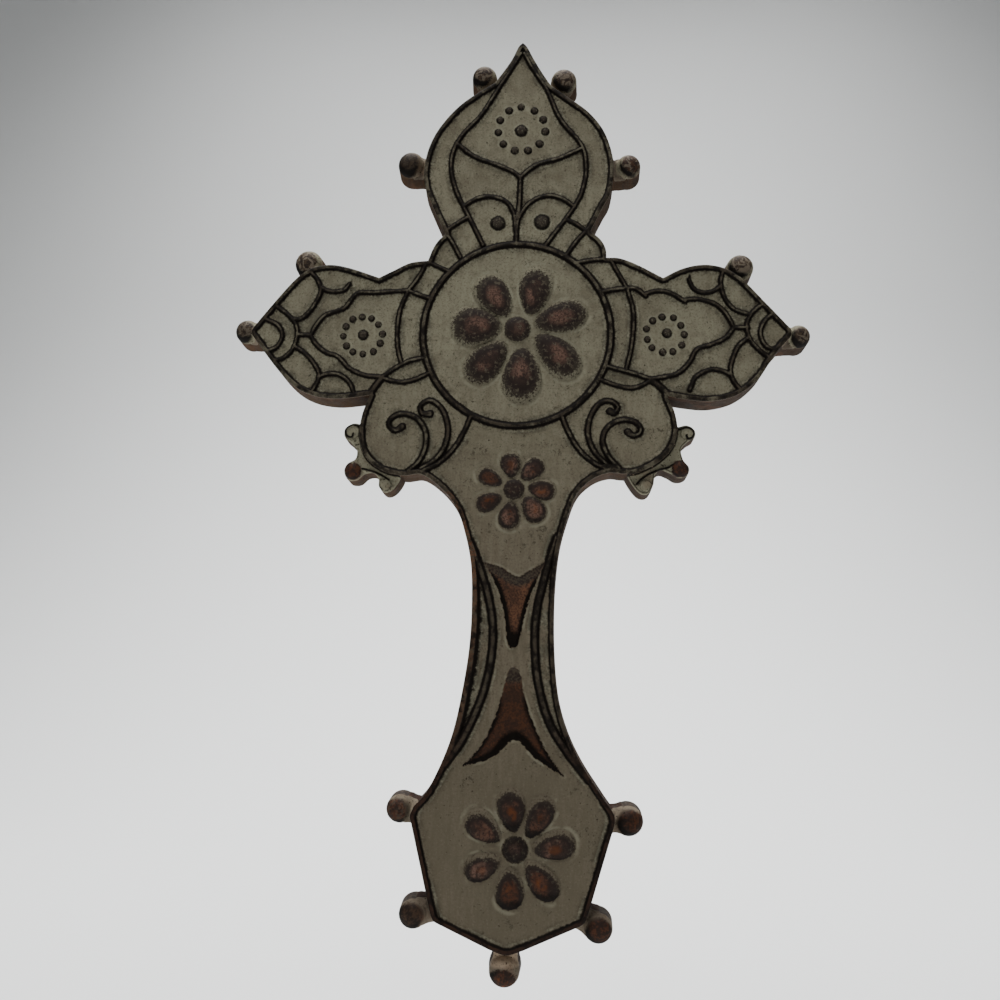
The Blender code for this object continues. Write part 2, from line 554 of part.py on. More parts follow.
def covered(points, outline):
    # Whether each plan point belongs to the cross
    found = inside_loop(points, outline)
    for web in WEBS:
        found |= inside_loop(points, smooth_run(drawn(web), LINE_TURN))
    for knob in KNOBS:
        centre, _, size = knob
        found |= inside_loop(points, circle(drawn(centre)[0], KNOB_RADIUS * size, KNOB_SIDES))
        found |= inside_loop(points, neck_loop(knob))
    return found


def triangulate(points, edges, outline):
    # The plan cut into triangles along its edges, without those outside the cross
    vectors = [Vector((float(x), float(z))) for x, z in points]
    found = delaunay_2d_cdt(vectors, edges, [], 0, MERGE)
    places = np.array([tuple(v) for v in found[0]])
    faces = np.array([tuple(face) for face in found[2]])
    middles = places[faces].mean(axis=1)
    return places, faces[covered(middles, outline)]


def face_edges(faces):
    # Each edge of the triangles with the faces on its two sides
    sides = {}
    for number, (a, b, c) in enumerate(faces):
        for pair in ((a, b), (b, c), (c, a)):
            sides.setdefault((min(pair), max(pair)), []).append(number)
    return sides


def creases(places, heights, faces):
    # The edges where the front bends or ends: flat stretches need no others
    solid = np.column_stack([places, heights])
    a, b, c = solid[faces[:, 0]], solid[faces[:, 1]], solid[faces[:, 2]]
    normal = np.cross(b - a, c - a)
    normal = normal / np.maximum(np.linalg.norm(normal, axis=1), 1e-18)[:, None]
    kept = []
    for edge, sides in face_edges(faces).items():
        if len(sides) == 1 or normal[sides[0]] @ normal[sides[1]] < math.cos(FLAT_TURN):
            kept.append(edge)
    return kept


def renumber(places, edges):
    used = sorted({i for edge in edges for i in edge})
    new = {old: number for number, old in enumerate(used)}
    return places[used], [(new[a], new[b]) for a, b in edges]


def rim_loops(faces):
    # The open edges of the front as loops, counter-clockwise as seen from the front
    following = {}
    alone = {edge for edge, sides in face_edges(faces).items() if len(sides) == 1}
    for a, b, c in faces:
        for start, end in ((a, b), (b, c), (c, a)):
            if (min(start, end), max(start, end)) in alone:
                following[start] = end
    loops = []
    while following:
        start, place = following.popitem()
        loop = [start]
        while place != start:
            loop.append(place)
            place = following.pop(place)
        loops.append(loop)
    return loops


def build_cross():
    outline = outline_loop()
    plan = Plan()
    draw_body(plan, outline)
    draw_lines(plan)
    draw_ornaments(plan)
    draw_low_parts(plan)
    places, faces = triangulate(plan.points, plan.edges, outline)
    kept = creases(places, front_height(places, outline), faces)
    places, kept = renumber(places, kept)
    places, faces = triangulate(places, kept, outline)
    heights = front_height(places, outline)

    mesh = bmesh.new()
    front = [mesh.verts.new((x, -y, z)) for (x, z), y in zip(places, heights)]
    for face in faces:
        mesh.faces.new([front[i] for i in face])
    loop = max(rim_loops(faces), key=len)
    back_plan = offset_path(places[loop], -WALL_DRAFT, closed=True)
    back = [mesh.verts.new((x, 0, z)) for x, z in back_plan]
    count = len(loop)
    for i in range(count):
        j = (i + 1) % count
        mesh.faces.new((front[loop[j]], front[loop[i]], back[i], back[j]))
    mesh.faces.new(back[::-1])
    loose = [v for v in mesh.verts if not v.link_faces]
    bmesh.ops.delete(mesh, geom=loose, context="VERTS")
    bmesh.ops.triangulate(mesh, faces=mesh.faces[:])
    data = bpy.data.meshes.new("cross")
    mesh.to_mesh(data)
    mesh.free()
    cross = bpy.data.objects.new("cross", data)
    bpy.context.scene.collection.objects.link(cross)
    data.materials.append(painted_resin())
    data.shade_smooth()
    data.set_sharp_from_angle(angle=SHARP_TURN)
    return cross


def painted_resin():
    # Matt grey-green wash over brown resin
    material = bpy.data.materials.new("painted_resin")
    material.use_nodes = True
    shader = material.node_tree.nodes["Principled BSDF"]
    shader.inputs["Base Color"].default_value = (0.29, 0.26, 0.19, 1)
    shader.inputs["Roughness"].default_value = 0.62
    shader.inputs["Metallic"].default_value = 0.0
    return material


clear_scene()
build_cross()
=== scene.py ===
import math
from functools import partial

import bpy
import numpy as np
from mathutils import Matrix, Vector
from mathutils.geometry import delaunay_2d_cdt


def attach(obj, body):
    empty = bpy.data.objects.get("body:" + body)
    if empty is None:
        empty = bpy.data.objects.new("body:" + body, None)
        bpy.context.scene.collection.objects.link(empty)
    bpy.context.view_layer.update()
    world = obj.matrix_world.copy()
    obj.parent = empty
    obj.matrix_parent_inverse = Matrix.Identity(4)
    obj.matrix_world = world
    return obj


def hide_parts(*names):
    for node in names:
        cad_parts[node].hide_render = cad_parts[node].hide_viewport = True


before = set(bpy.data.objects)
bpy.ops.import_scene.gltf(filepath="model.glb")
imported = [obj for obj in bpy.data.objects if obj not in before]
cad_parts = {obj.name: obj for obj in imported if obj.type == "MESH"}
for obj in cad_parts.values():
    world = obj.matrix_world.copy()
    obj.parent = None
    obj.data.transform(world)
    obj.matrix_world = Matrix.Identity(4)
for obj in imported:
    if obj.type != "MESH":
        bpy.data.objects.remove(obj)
bpy.ops.object.select_all(action="DESELECT")
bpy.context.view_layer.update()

# The drawing in millimetres from the medallion's middle: X right, Z up.
# The outline runs clockwise from the tip, and its runs meet at corners.
outlineRuns = [
    [(0, 103.8), (1.5, 102.2), (3.8, 97.8), (6.7, 92.8), (9.8, 88)],
    [(9.8, 88), (15.2, 84), (22.8, 78.1), (28.3, 70.4), (31.1, 60), (30.2, 50), (27.5, 44.3), (23.5, 36)],
    [(23.5, 36), (26.8, 33.2), (28.6, 30), (28.9, 26.8)],
    [(28.9, 26.8), (33.2, 26.6), (39, 24.4), (47.4, 19.9)],
    [(47.4, 19.9), (54, 23.2), (61, 24.5), (67.6, 23.3), (72.8, 20.2)],
    [(72.8, 20.2), (88.6, 2.8)],
    [(88.6, 2.8), (88.7, 1), (87.8, -0.3)],
    [(87.8, -0.3), (83, -6.1), (77.9, -13.8), (71.2, -19.2), (63, -21.4), (55, -20.9), (48.7, -19.8)],
    [(48.7, -19.8), (51.1, -25.5), (51.8, -31.5), (50, -37.2), (45.3, -41.9), (39.3, -45), (35, -45.5),
     (30.3, -45.2), (24.9, -47.3), (20, -52.1), (16.9, -60), (14.3, -70.5), (13.1, -84), (13.1, -100),
     (14.4, -115), (17.3, -126), (22.1, -136), (29.3, -146.7)],
    [(29.3, -146.7), (31.9, -150.4), (32.3, -153.2), (31.5, -156.5)],
    [(31.5, -156.5), (24.6, -179.6)],
    [(24.6, -179.6), (23.2, -182.6), (20.5, -184.1)],
    [(20.5, -184.1), (5, -190.9)],
    [(5, -190.9), (0, -192.3), (-5, -190.9)],
    [(-5, -190.9), (-19.8, -184.4)],
    [(-19.8, -184.4), (-22.2, -183.1), (-23.3, -180.4)],
    [(-23.3, -180.4), (-29.6, -155.6)],
    [(-29.6, -155.6), (-30.2, -152.8), (-29.1, -150)],
    [(-29.1, -150), (-25, -145), (-20.3, -135), (-17.1, -125), (-14.5, -111), (-13.1, -99), (-12.8, -87),
     (-13.4, -75), (-15.6, -65), (-18.6, -57), (-23.6, -50.9), (-30, -46.6), (-36, -47), (-42.5, -45.6),
     (-48.2, -41.3), (-50.6, -34.5), (-50.2, -27.5), (-47.8, -20.4)],
    [(-47.8, -20.4), (-54, -21.4), (-60.3, -21.8), (-67.4, -20.6), (-73.6, -17.3), (-79.6, -11.1),
     (-87.8, -0.5)],
    [(-87.8, -0.5), (-88.2, 0.9), (-87.2, 2.6)],
    [(-87.2, 2.6), (-80, 12), (-74, 19.1), (-69.2, 22.6), (-63, 23.9), (-56.2, 22.8), (-46.3, 19.5)],
    [(-46.3, 19.5), (-41.5, 22), (-36, 24.7), (-30.2, 25.5)],
    [(-30.2, 25.5), (-28.7, 29.6), (-27, 32.4), (-24.7, 34.8)],
    [(-24.7, 34.8), (-29.3, 44.9), (-31.9, 51.5), (-32.5, 58), (-31, 65.8), (-27.5, 73), (-21.5, 80.3),
     (-15, 85.4), (-9.2, 89.2)],
    [(-9.2, 89.2), (-6, 93.8), (-3.4, 98), (-1.5, 102.2), (0, 103.8)],
]

ringCentre = (-0.3, 0.6)
topLobeLines = {
    "leafLeft": [(-0.6, 99.8), (-3.8, 94), (-7.2, 88.5), (-13.5, 77.7), (-20, 70), (-23, 63.5),
                 (-23.2, 56.5), (-20.8, 48.5), (-16.5, 40), (-12, 31)],
    "leafRight": [(0.6, 99.8), (3.6, 94.2), (8.4, 86.6), (13, 76), (20, 67), (21.9, 60), (21.3, 52.5),
                  (18.3, 44.8), (8.7, 31)],
    "browLeft": [(-21.8, 67.2), (-16, 62.6), (-8, 59.4), (-3, 57.2), (0, 54.8)],
    "browRight": [(20.6, 65.4), (13, 61.8), (6, 59.7), (2.5, 57.4), (0, 54.8)],
    "stem": [(0, 54.8), (-0.2, 46), (-0.9, 38), (-1, 31.5)],
    "archLeft": [(-18.6, 44.8), (-14.5, 47.4), (-9.5, 48.1), (-4.5, 46.2), (-2, 42), (-1.3, 36)],
    "archRight": [(-0.4, 40.5), (3, 45.7), (8.5, 48.4), (13.5, 47.7), (18.2, 44.5)],
    "barLeft": [(-24.2, 36.2), (-21, 38.5), (-17.3, 40.8)],
    "barRight": [(15.3, 40.2), (18.7, 38.6), (22, 36.2)],
    "sideLeft": [(-25.4, 36.4), (-22.3, 32), (-19.4, 26.6)],
    "sideRight": [(22.8, 37), (19, 32.5), (15.8, 27.8)],
    "shoulderLeft": [(-29.8, 25), (-26.5, 23.3), (-23.3, 21.9)],
    "shoulderRight": [(28.6, 26.2), (24.5, 26), (19.2, 25)],
}

leftArmLines = {
    "neckLeft": [(-30.5, 25), (-33, 20), (-36.4, 15.1)],
    "collarLeft": [(-28.4, 12.2), (-32.5, 13.6), (-36.4, 15.1)],
    "bellTopLeft": [(-36.4, 15.1), (-42, 14.8), (-48, 14.4), (-53.5, 14), (-57.2, 9.2), (-60, 8),
                    (-64, 6.3), (-66.8, 2.7), (-68.3, -0.5)],
    "bellFootLeft": [(-68.3, -0.5), (-66.5, -3.3), (-63, -6.2), (-59, -7.6), (-55, -11.5),
                     (-50, -13.8), (-44, -14.4)],
    "bellTipLeft": [(-68.3, -0.4), (-72.8, -0.2)],
    "bellSideLeft": [(-44, -14.4), (-39, -10.8), (-35, -8.8), (-30.2, -7.8)],
    "cuffLeft": [(-36.4, 15), (-38.9, 8.5), (-39.6, 1), (-39.1, -5), (-37.8, -10)],
    "lensLeft": [(-44, -14.6), (-40.5, -15.7), (-36.5, -16), (-32, -14.6), (-27.8, -12.4)],
    "tipArcLeft": [(-80.3, 9.6), (-76.5, 6.8), (-73.5, 3.3), (-72.8, -0.3), (-74, -5), (-77, -8.2),
                   (-80.4, -9.2)],
    "tipInnerLeft": [(-83.4, 4.9), (-79.5, 3), (-77.8, -0.5), (-79.2, -4.2), (-82.8, -6.1)],
    "upperCellLeft": [(-69.5, 21.6), (-66.8, 18.5), (-65.7, 14.5), (-68.3, 8.8), (-71.5, 5.4),
                      (-74.6, 4.9)],
    "hookLeft": [(-66, 16.4), (-63.5, 15), (-60.5, 14.6), (-57.6, 15.4), (-56.1, 17.4)],
    "lowerCellLeft": [(-73.4, -4.2), (-69, -7.4), (-65.5, -12), (-65, -15.2), (-67, -19.6)],
    "archCellLeft": [(-65.2, -14.6), (-62, -13.5), (-58, -13.8), (-54.7, -16.5), (-53, -20.2)],
}

rightArmLines = {
    "neckRight": [(30.3, 26), (33, 21), (35.6, 16.4)],
    "collarRight": [(27, 14.9), (31, 15.8), (35.6, 16.4)],
    "bellTopARight": [(35.6, 16.4), (38.8, 16.1), (41.8, 13.7)],
    "bellTopBRight": [(41.4, 14.3), (45.5, 15.5), (50, 14.7), (54.6, 11.9)],
    "bellTopCRight": [(54.2, 12.4), (59, 12.7), (64.5, 11), (68, 7.5), (70.2, 3.2)],
    "bellTipRight": [(70.2, 3.2), (74.8, 3.3)],
    "bellFootRight": [(70.2, 3.1), (67.5, -0.3), (63, -2.5), (58.3, -4.2), (55.8, -8.6), (51.5, -12.5),
                      (43.3, -14.3)],
    "bellSideRight": [(43.3, -14.3), (37.5, -12.3), (29, -10.1)],
    "cuffRight": [(35.6, 16.4), (37.6, 9.5), (37.8, 3), (37, -4.5), (35.4, -11.3)],
    "lensRight": [(43.3, -14.8), (40, -16.6), (36.5, -17.3), (32, -16.4), (27, -14.6)],
    "tipArcRight": [(79.9, 11.4), (76.5, 8.6), (74.4, 4.5), (75.2, -0.3), (77.8, -3.8), (81.2, -6.6)],
    "tipInnerRight": [(82.9, 8), (80, 5.3), (78.7, 1.3), (80.2, -2.7), (83.6, -4.3)],
    "upperCellRight": [(67, 22.6), (66.2, 18.5), (67.3, 13.5), (70.2, 9.6), (75.2, 7.6)],
    "hookRight": [(55.9, 19.3), (57.3, 16.4), (60.2, 15), (63.5, 15.4), (66.4, 17.3)],
    "lowerCellRight": [(75, 0), (71.5, -3.2), (69.4, -8.5), (69, -12), (70.3, -15.3), (72.3, -17.6)],
    "archCellRight": [(55.9, -17.7), (58, -13.3), (62.5, -11), (66.3, -11.3), (69.2, -12.8)],
}

scrollLines = {
    "scrollBigLeft": [(-34.6, -45.6), (-31, -42.2), (-29.1, -37.5), (-29.2, -32.5), (-32.2, -28),
                      (-36.8, -26.6), (-40.3, -28), (-41.2, -30.5), (-39.2, -32.2), (-36.9, -31)],
    "scrollSmallLeft": [(-30.5, -44.6), (-26, -41.8), (-22.9, -37.5), (-21.9, -31.5), (-23.8, -25.3),
                        (-27.8, -22.1), (-31, -23.8), (-30.6, -26.4), (-27.9, -26.6)],
    "rootLeft": [(-14.6, -27.2), (-17, -33), (-20.5, -38.7), (-25, -43), (-30, -45.4)],
    "scrollBigRight": [(33.5, -43.8), (29.8, -39.8), (28, -35), (29.2, -30.8), (32.8, -28.2),
                       (36.8, -27.9), (39.8, -29.8), (39.8, -32.2), (37.6, -33), (36, -31.9)],
    "scrollSmallRight": [(29.5, -42.6), (25.5, -38.5), (23.3, -33), (24, -27), (27, -22.5),
                         (30.5, -21.7), (32.8, -23.6), (31.8, -25.6), (30.2, -25.1)],
    "rootRight": [(14.8, -26.8), (16.5, -31), (20, -37.2), (24.5, -41.5), (29.2, -44)],
}

shaftLines = {
    "shaftLeft": [(-13.4, -68), (-10.4, -76.5), (-7.4, -86), (-5.9, -97), (-7, -109), (-10.3, -120),
                  (-15, -130), (-19.8, -137)],
    "shaftRight": [(13.4, -66), (10, -79), (7.8, -89), (7.2, -99), (8.4, -111.5), (12, -123.5),
                   (17.5, -132.3), (24.4, -140.8)],
}

jointLines = {
    "jointLeft": [(-44, -14.6), (-46.2, -17.6), (-48, -20.6)],
    "jointRight": [(43.3, -14.4), (46.8, -17.2), (50, -20.2)],
}

flowers = {
    "medallion": {
        "boss": ((-0.2, 2.2), 4.4),
        "petals": [((5.6, 15.5), 8.2, 4.8, 80), ((14, 6.4), 8.7, 4.7, 16),
                   ((13, -6.6), 9.2, 5.1, -45), ((1.7, -13.4), 9.0, 5.7, -91),
                   ((-10, -8.8), 8.4, 5.1, -132), ((-13.7, 3.1), 8.2, 5.9, 180),
                   ((-8, 13.3), 7.8, 4.9, 128)],
    },
    "shaft": {
        "boss": ((-0.2, -51), 3.4),
        "petals": [((-1.3, -43), 4.1, 3.0, 98), ((5.5, -44.4), 4.4, 2.9, 45),
                   ((8.8, -50.8), 4.4, 2.9, -12), ((5.9, -57.2), 4.7, 3.3, -50),
                   ((-1.4, -59.4), 4.5, 3.1, -97), ((-8.2, -55), 4.3, 2.7, -156),
                   ((-8, -47.2), 4.2, 2.5, 155)],
    },
    "base": {
        "boss": ((2.2, -161.9), 4.0),
        "petals": [((0.8, -150.2), 6.4, 3.9, 97), ((9.2, -152.2), 6.6, 3.5, 62),
                   ((13.9, -160.3), 6.4, 3.9, 8), ((10.2, -170.5), 6.8, 3.8, -50),
                   ((0.8, -173.2), 6.1, 3.9, -93), ((-7.6, -166.9), 5.7, 3.6, -155),
                   ((-7.6, -155.5), 6.1, 3.8, 142)],
    },
}

dotRings = [((0.1, 72.4), 8.0, 11, 90), ((-51, -0.2), 6.4, 12, 4), ((48.1, 0.8), 6.2, 11, 98)]
singleDots = [((0, 71.8), 1.4), ((-51, 0), 1.55), ((48.7, 1.2), 1.45), ((-7.5, 38.7), 1.75),
               ((7.7, 39.3), 1.85)]
knobs = [
    ((-13, 92.7), (-9.2, 86), 0.98), ((14.2, 91.3), (11.2, 84.5), 1.02),
    ((-37.3, 60.9), (-29.5, 59.5), 1.04), ((36.3, 60.3), (28, 59), 0.95),
    ((-70.9, 25.4), (-67.5, 19.5), 1.07), ((73.2, 24.8), (69.3, 18.6), 1.02),
    ((-90.3, 1.5), (-84, 1), 0.93), ((91.7, 1.3), (84, 1), 0.88),
    ((-33.8, -151.2), (-26.5, -152.6), 0.99), ((36.8, -153), (29, -153.2), 1.05),
    ((-28.7, -182.1), (-20.5, -180.5), 1.02), ((27.7, -184.6), (20.5, -180.8), 1.03),
    ((-0.5, -197.8), (0, -189), 1.09),
]

webs = [
    [(-47, -30.5), (-50.6, -29.8), (-53.5, -29.5), (-56, -31.2), (-56, -34), (-54, -35.8),
     (-51.9, -38.2), (-52.2, -41.2), (-54.9, -43), (-55.7, -45.6), (-54.3, -48.2), (-51.4, -48.3),
     (-49, -46.3), (-46.2, -45.9), (-44.4, -47.6), (-44.1, -50.3), (-42.3, -52.2), (-40, -51.6),
     (-37.8, -48.9), (-36, -44.5)],
    [(48, -30), (52, -29.6), (55.2, -28.9), (57.7, -30.5), (57.7, -32.8), (55.4, -34.4), (53.4, -36.8),
     (54, -40.2), (55.9, -42.8), (55.2, -45.4), (52.4, -46.1), (49.6, -44.6), (46.9, -43.8), (45, -45.3),
     (44.4, -48.6), (42.8, -51.4), (40.4, -51.5), (37.8, -48.8), (34.5, -43)],
]

curls = [((-53.4, -32.5), 2.4), ((-52.8, -45.5), 2.8), ((-42.1, -49.9), 2.1),
         ((55.4, -31.6), 2.4), ((52.9, -43.3), 2.7), ((42, -49.2), 2.1)]
lineGroups = [(topLobeLines, 1.4), (leftArmLines, 1.38), (rightArmLines, 1.38), (scrollLines, 1.55),
              (shaftLines, 2.5), (jointLines, 2.2)]
curlEnds = ("scrollBigLeft", "scrollSmallLeft", "scrollBigRight", "scrollSmallRight")
freeEnds = {"hookLeft": 1.0, "hookRight": 0.0}      # lines that thin out, and at which end
spreadEnds = {"stem": 0.45}                         # lines that swell on their way
taperedStarts = ("shaftLeft", "shaftRight")
# Brown patches where lines run together
filledPatches = [
    [(21, 36.4), (23.6, 37.2), (25.4, 38.9), (26.3, 37.4), (24.5, 35.2), (22.6, 33.8)],
    [(27.6, -42.8), (29.4, -44.9), (32.5, -45), (34, -44), (31.6, -42.4), (29.4, -42.3)],
]

# Wedges as runs that meet at corners, clockwise
wedges = {
    "wedgeUpper": [
        [(-9.2, -74.6), (-4, -76), (1.4, -78.9), (5.5, -76.8), (10, -74.2)],
        [(10, -74.2), (6.8, -81.5), (4.3, -89), (2.7, -96.5), (1.9, -100.3), (0.4, -101.2), (-1.2, -100),
         (-1.9, -94.5), (-3.2, -87.5), (-5.8, -80.5), (-9.2, -74.6)],
    ],
    "wedgeLower": [
        [(-14.5, -137.6), (-9, -131.5), (-5.2, -124), (-2.6, -115.5), (-0.9, -109), (0.9, -107), (2.7, -109),
         (4, -115.5), (7, -124), (11.5, -133), (16.8, -139.9)],
        [(16.8, -139.9), (8, -134.6), (1.5, -129.2), (-5.5, -134.7), (-14.5, -137.6)],
    ],
}

# How each knob is painted, in the order of the knobs: warm brown, soot and worn pale patches
knobPaint = [
    (0.42, 0.20, 0.8), (0.42, 0.20, 0.8), (0.20, 0.45, 0.2), (0.48, 0.12, 0.8), (0.38, 0.05, 1.0),
    (0.38, 0.18, 0.9), (0.30, 0.38, 0.9), (0.30, 0.36, 0.9), (0.58, 0.10, 0.2), (0.72, 0.44, 0.0),
    (0.45, 0.42, 0.0), (0.72, 0.26, 0.0), (0.95, 0.20, 0.0),
]

# Strokes drawn on the webs
curlStrokes = [
    [(52.4, -30.6), (55, -30), (57, -31.2), (56.9, -33), (55.4, -33.6), (54.8, -32.4)],
    [(-50.8, -30.8), (-53.4, -30.3), (-55.3, -31.8), (-55, -33.9), (-53.4, -34.3), (-52.9, -33)],
    [(50.6, -41.9), (49, -43), (46, -43.9), (43, -45.2), (40.5, -46.9), (39, -48.6)],
    [(-49.6, -44.6), (-46, -45.6), (-43, -46.9), (-40.8, -48.2)],
]

# The relief, in millimetres. The mesh is scaled to metres when it is made.
reliefValues = {
    "thickness": 12.0,      # flat back to the crests of the raised lines
    "fieldDepth": 0.9,      # crests down to the plain fields
    "fillet": 0.24,         # how far the field rises to the foot of a ridge
    "filletReach": 0.6,     # and how wide that slope is
    "lineUneven": 0.05,     # share by which the lines get wider and thinner
    "unevenness": 0.035,    # soft waves of the fields
    "edgeRound": 0.55,      # rounding along the body's edge
    "rimCrest": 0.95,       # from the edge to where the rim starts to fall
    "rimWidth": 1.7,
    "shaftRim": 0.9,        # how much wider the rim is along the shaft's left side
    "shaftRimRight": -0.25,         # the same on its right side
    "shaftRimTop": (-62, -78),      # heights between which that starts and is full
    "shaftRimFoot": (-158, -140),
    "ringRadius": 30.8,
    "ringWidth": 2.15,
    "dotRadius": 1.25,
    "dotRise": 0.75,
    "dotSpread": 0.12,
    "armDots": 0.88,        # the arms' dots against those of the top lobe
    "station": 0.8,         # spacing of points along the forms
    "fill": 1.35,           # spacing on the plain fields
}
lowValues = {
    "knobRadius": 4.3,
    "knobFront": 11.6,      # the knobs' fronts over the flat back
    "knobDome": 3.6,        # the height of their rounded part
    "knobTilt": 0.12,
    "neckWidth": 7.6,
    "neckLevel": 8.6,
    "neckRound": 2.2,
    "neckSoft": 0.9,
    "stepFoot": 1.1,        # the rounded step from the body down to necks and webs
    "webLevel": 9.9,
    "webRound": 1.3,
    "webScoop": 0.7,
    "webReach": 4.5,        # how far from the body the webs are scooped
    "curlRise": 1.2,
    "strokeRise": 0.45,     # strokes drawn on the webs
    "strokeWidth": 1.1,
    "bottomKnob": -190,     # the knob below this height has its neck and ball top painted pale, painted light against the body's shade
}
wallValues = {
    "draft": 0.38,          # how far the walls spread towards the back
    "rows": (0.05, 0.13, 0.25, 0.38, 0.52, 0.66, 0.8, 0.92, 0.975, 1.0),
    "backInset": 0.22,      # rounding of the back's edge
    "backGrid": 6.0,
    "sharpFrom": 60,        # degrees
    "brownKnobs": -140,     # knobs below this height have brown walls
}
flowerValues = {
    "swell": 0.26,          # how much wider a petal is at its outer end
    "lengthen": 1.05,       # petals with their washed flanks, against the drawn ones
    "widen": 1.12,
    "petalRise": 0.26,      # against its half width
    "bossRise": 0.285,      # against its radius
    "moat": 0.17,           # the shallow dip round a petal
}
# How each flower is painted: where the dark heart sits, how much it covers and how warm it is
# and how far the lower sides of its petals are darkened, with black paint and painted shade
flowerPaint = {
    "medallion": {"inward": 0.55, "down": 0.1, "stray": 0.35, "cover": 0.88, "warm": 0.3, "sootAndShade": 0.3,
                  "bossInk": 0.05, "dimple": 0.0},
    "shaft": {"inward": 0.15, "down": 0.15, "stray": 0.2, "cover": 1.45, "warm": 0.5, "sootAndShade": 0.4,
              "bossInk": 0.3, "dimple": 0.15},
    "base": {"inward": 0.1, "down": 1.1, "stray": 0.25, "cover": 1.32, "warm": 0.55, "sootAndShade": 0.62,
             "bossInk": 0.5, "dimple": 0.3},
}
fieldLevel = reliefValues["thickness"] - reliefValues["fieldDepth"]

# What the paint follows, stored at each point. Foot and halo are distances in millimetres.
maskNames = ("ridge", "foot", "form", "core", "warm", "inkAndShade", "halo", "wedge", "side", "worn")
farMasks = {"foot": 9.0, "halo": 9.0}


def smoothPath(points, spacing):
    # a smooth curve through the points, with stations evenly apart
    points = np.array(points, float)
    if len(points) > 2:
        padded = np.vstack([2 * points[0] - points[1], points, 2 * points[-1] - points[-2]])
        fine = [points[:1]]
        t = np.linspace(0, 1, 21)[1:, None]
        for i in range(1, len(points)):
            before, start, end, after = padded[i - 1 : i + 3]
            leaving = (end - before) / 2
            arriving = (after - start) / 2
            fine.append(
                (2 * t**3 - 3 * t**2 + 1) * start
                + (t**3 - 2 * t**2 + t) * leaving
                + (3 * t**2 - 2 * t**3) * end
                + (t**3 - t**2) * arriving
            )
        points = np.vstack(fine)
    steps = np.linalg.norm(np.diff(points, axis=0), axis=1)
    along = np.concatenate([[0], np.cumsum(steps)])
    count = max(2, int(round(along[-1] / spacing)) + 1)
    wanted = np.linspace(0, along[-1], count)
    return np.column_stack([np.interp(wanted, along, points[:, k]) for k in (0, 1)])


def sideways(path, closed=False):
    # unit normals to the left of the path
    if closed:
        step = np.roll(path, -1, axis=0) - np.roll(path, 1, axis=0)
    else:
        step = np.gradient(path, axis=0)
    step = step / np.maximum(np.linalg.norm(step, axis=1), 1e-9)[:, None]
    return np.column_stack([-step[:, 1], step[:, 0]])


def ringOf(centre, radius, count):
    angles = np.arange(count) * 2 * math.pi / count
    return np.array(centre, float) + radius * np.column_stack([np.cos(angles), np.sin(angles)])


def nearestOn(points, path, closed=False, widths=None):
    # distance to the path, and the same as a share of the path's half width there
    starts = path if closed else path[:-1]
    ends = np.roll(path, -1, axis=0) if closed else path[1:]
    run = ends - starts
    size = np.maximum((run**2).sum(axis=1), 1e-12)
    gaps = np.empty(len(points))
    shares = np.empty(len(points))
    for k in range(0, len(points), 3000):
        block = points[k : k + 3000]
        offset = block[:, None, :] - starts[None]
        t = np.clip((offset * run).sum(axis=2) / size, 0, 1)
        gap = np.hypot(offset[:, :, 0] - t * run[:, 0], offset[:, :, 1] - t * run[:, 1])
        gaps[k : k + 3000] = gap.min(axis=1)
        if widths is not None:
            half = widths[:-1] + t * (widths[1:] - widths[:-1])
            shares[k : k + 3000] = (gap / half).min(axis=1)
    return gaps, shares


def insideOf(points, loop):
    x, z = points[:, 0], points[:, 1]
    found = np.zeros(len(points), bool)
    low, high = loop.min(axis=0), loop.max(axis=0)
    near = np.nonzero((x > low[0]) & (x < high[0]) & (z > low[1]) & (z < high[1]))[0]
    x, z = x[near], z[near]
    odd = np.zeros(len(near), bool)
    for (x1, z1), (x2, z2) in zip(loop, np.roll(loop, -1, axis=0)):
        if z1 != z2:
            odd ^= ((z1 > z) != (z2 > z)) & (x < x1 + (z - z1) * (x2 - x1) / (z2 - z1))
    found[near] = odd
    return found


def nearby(points, path, margin):
    low, high = path.min(axis=0) - margin, path.max(axis=0) + margin
    return np.nonzero(((points > low) & (points < high)).all(axis=1))[0]


def roundTop(share, power=2.4):
    # 1 in the middle of a raised form and 0 at its foot, with steep sides
    return np.sqrt(np.clip(1 - np.clip(share, 0, 1) ** power, 0, 1))


def easing(value, low, high):
    t = np.clip((value - low) / (high - low), 0, 1)
    return t * t * (3 - 2 * t)


def runLoop(runs, spacing):
    # a closed loop of runs that meet at corners
    return np.vstack([smoothPath(run, spacing)[:-1] for run in runs])


def petalSize(petal):
    return petal[1] * flowerValues["lengthen"], petal[2] * flowerValues["widen"]


def petalFrame(points, petal):
    # along and across the petal, as shares of its half length and half width
    centre, turned = petal[0], math.radians(petal[3])
    halfLength, halfWidth = petalSize(petal)
    dx, dz = points[:, 0] - centre[0], points[:, 1] - centre[1]
    u = (dx * math.cos(turned) + dz * math.sin(turned)) / halfLength
    v = (dz * math.cos(turned) - dx * math.sin(turned)) / halfWidth
    return u, v / (1 + flowerValues["swell"] * np.clip(u, -1, 1))


def petalRing(petal, share, count):
    centre, turned = petal[0], math.radians(petal[3])
    halfLength, halfWidth = petalSize(petal)
    angles = np.arange(count) * 2 * math.pi / count
    u = np.cos(angles) * share
    v = np.sin(angles) * share * (1 + flowerValues["swell"] * np.clip(u, -1, 1)) * halfWidth
    u = u * halfLength
    x = centre[0] + u * math.cos(turned) - v * math.sin(turned)
    z = centre[1] + u * math.sin(turned) + v * math.cos(turned)
    return np.column_stack([x, z])


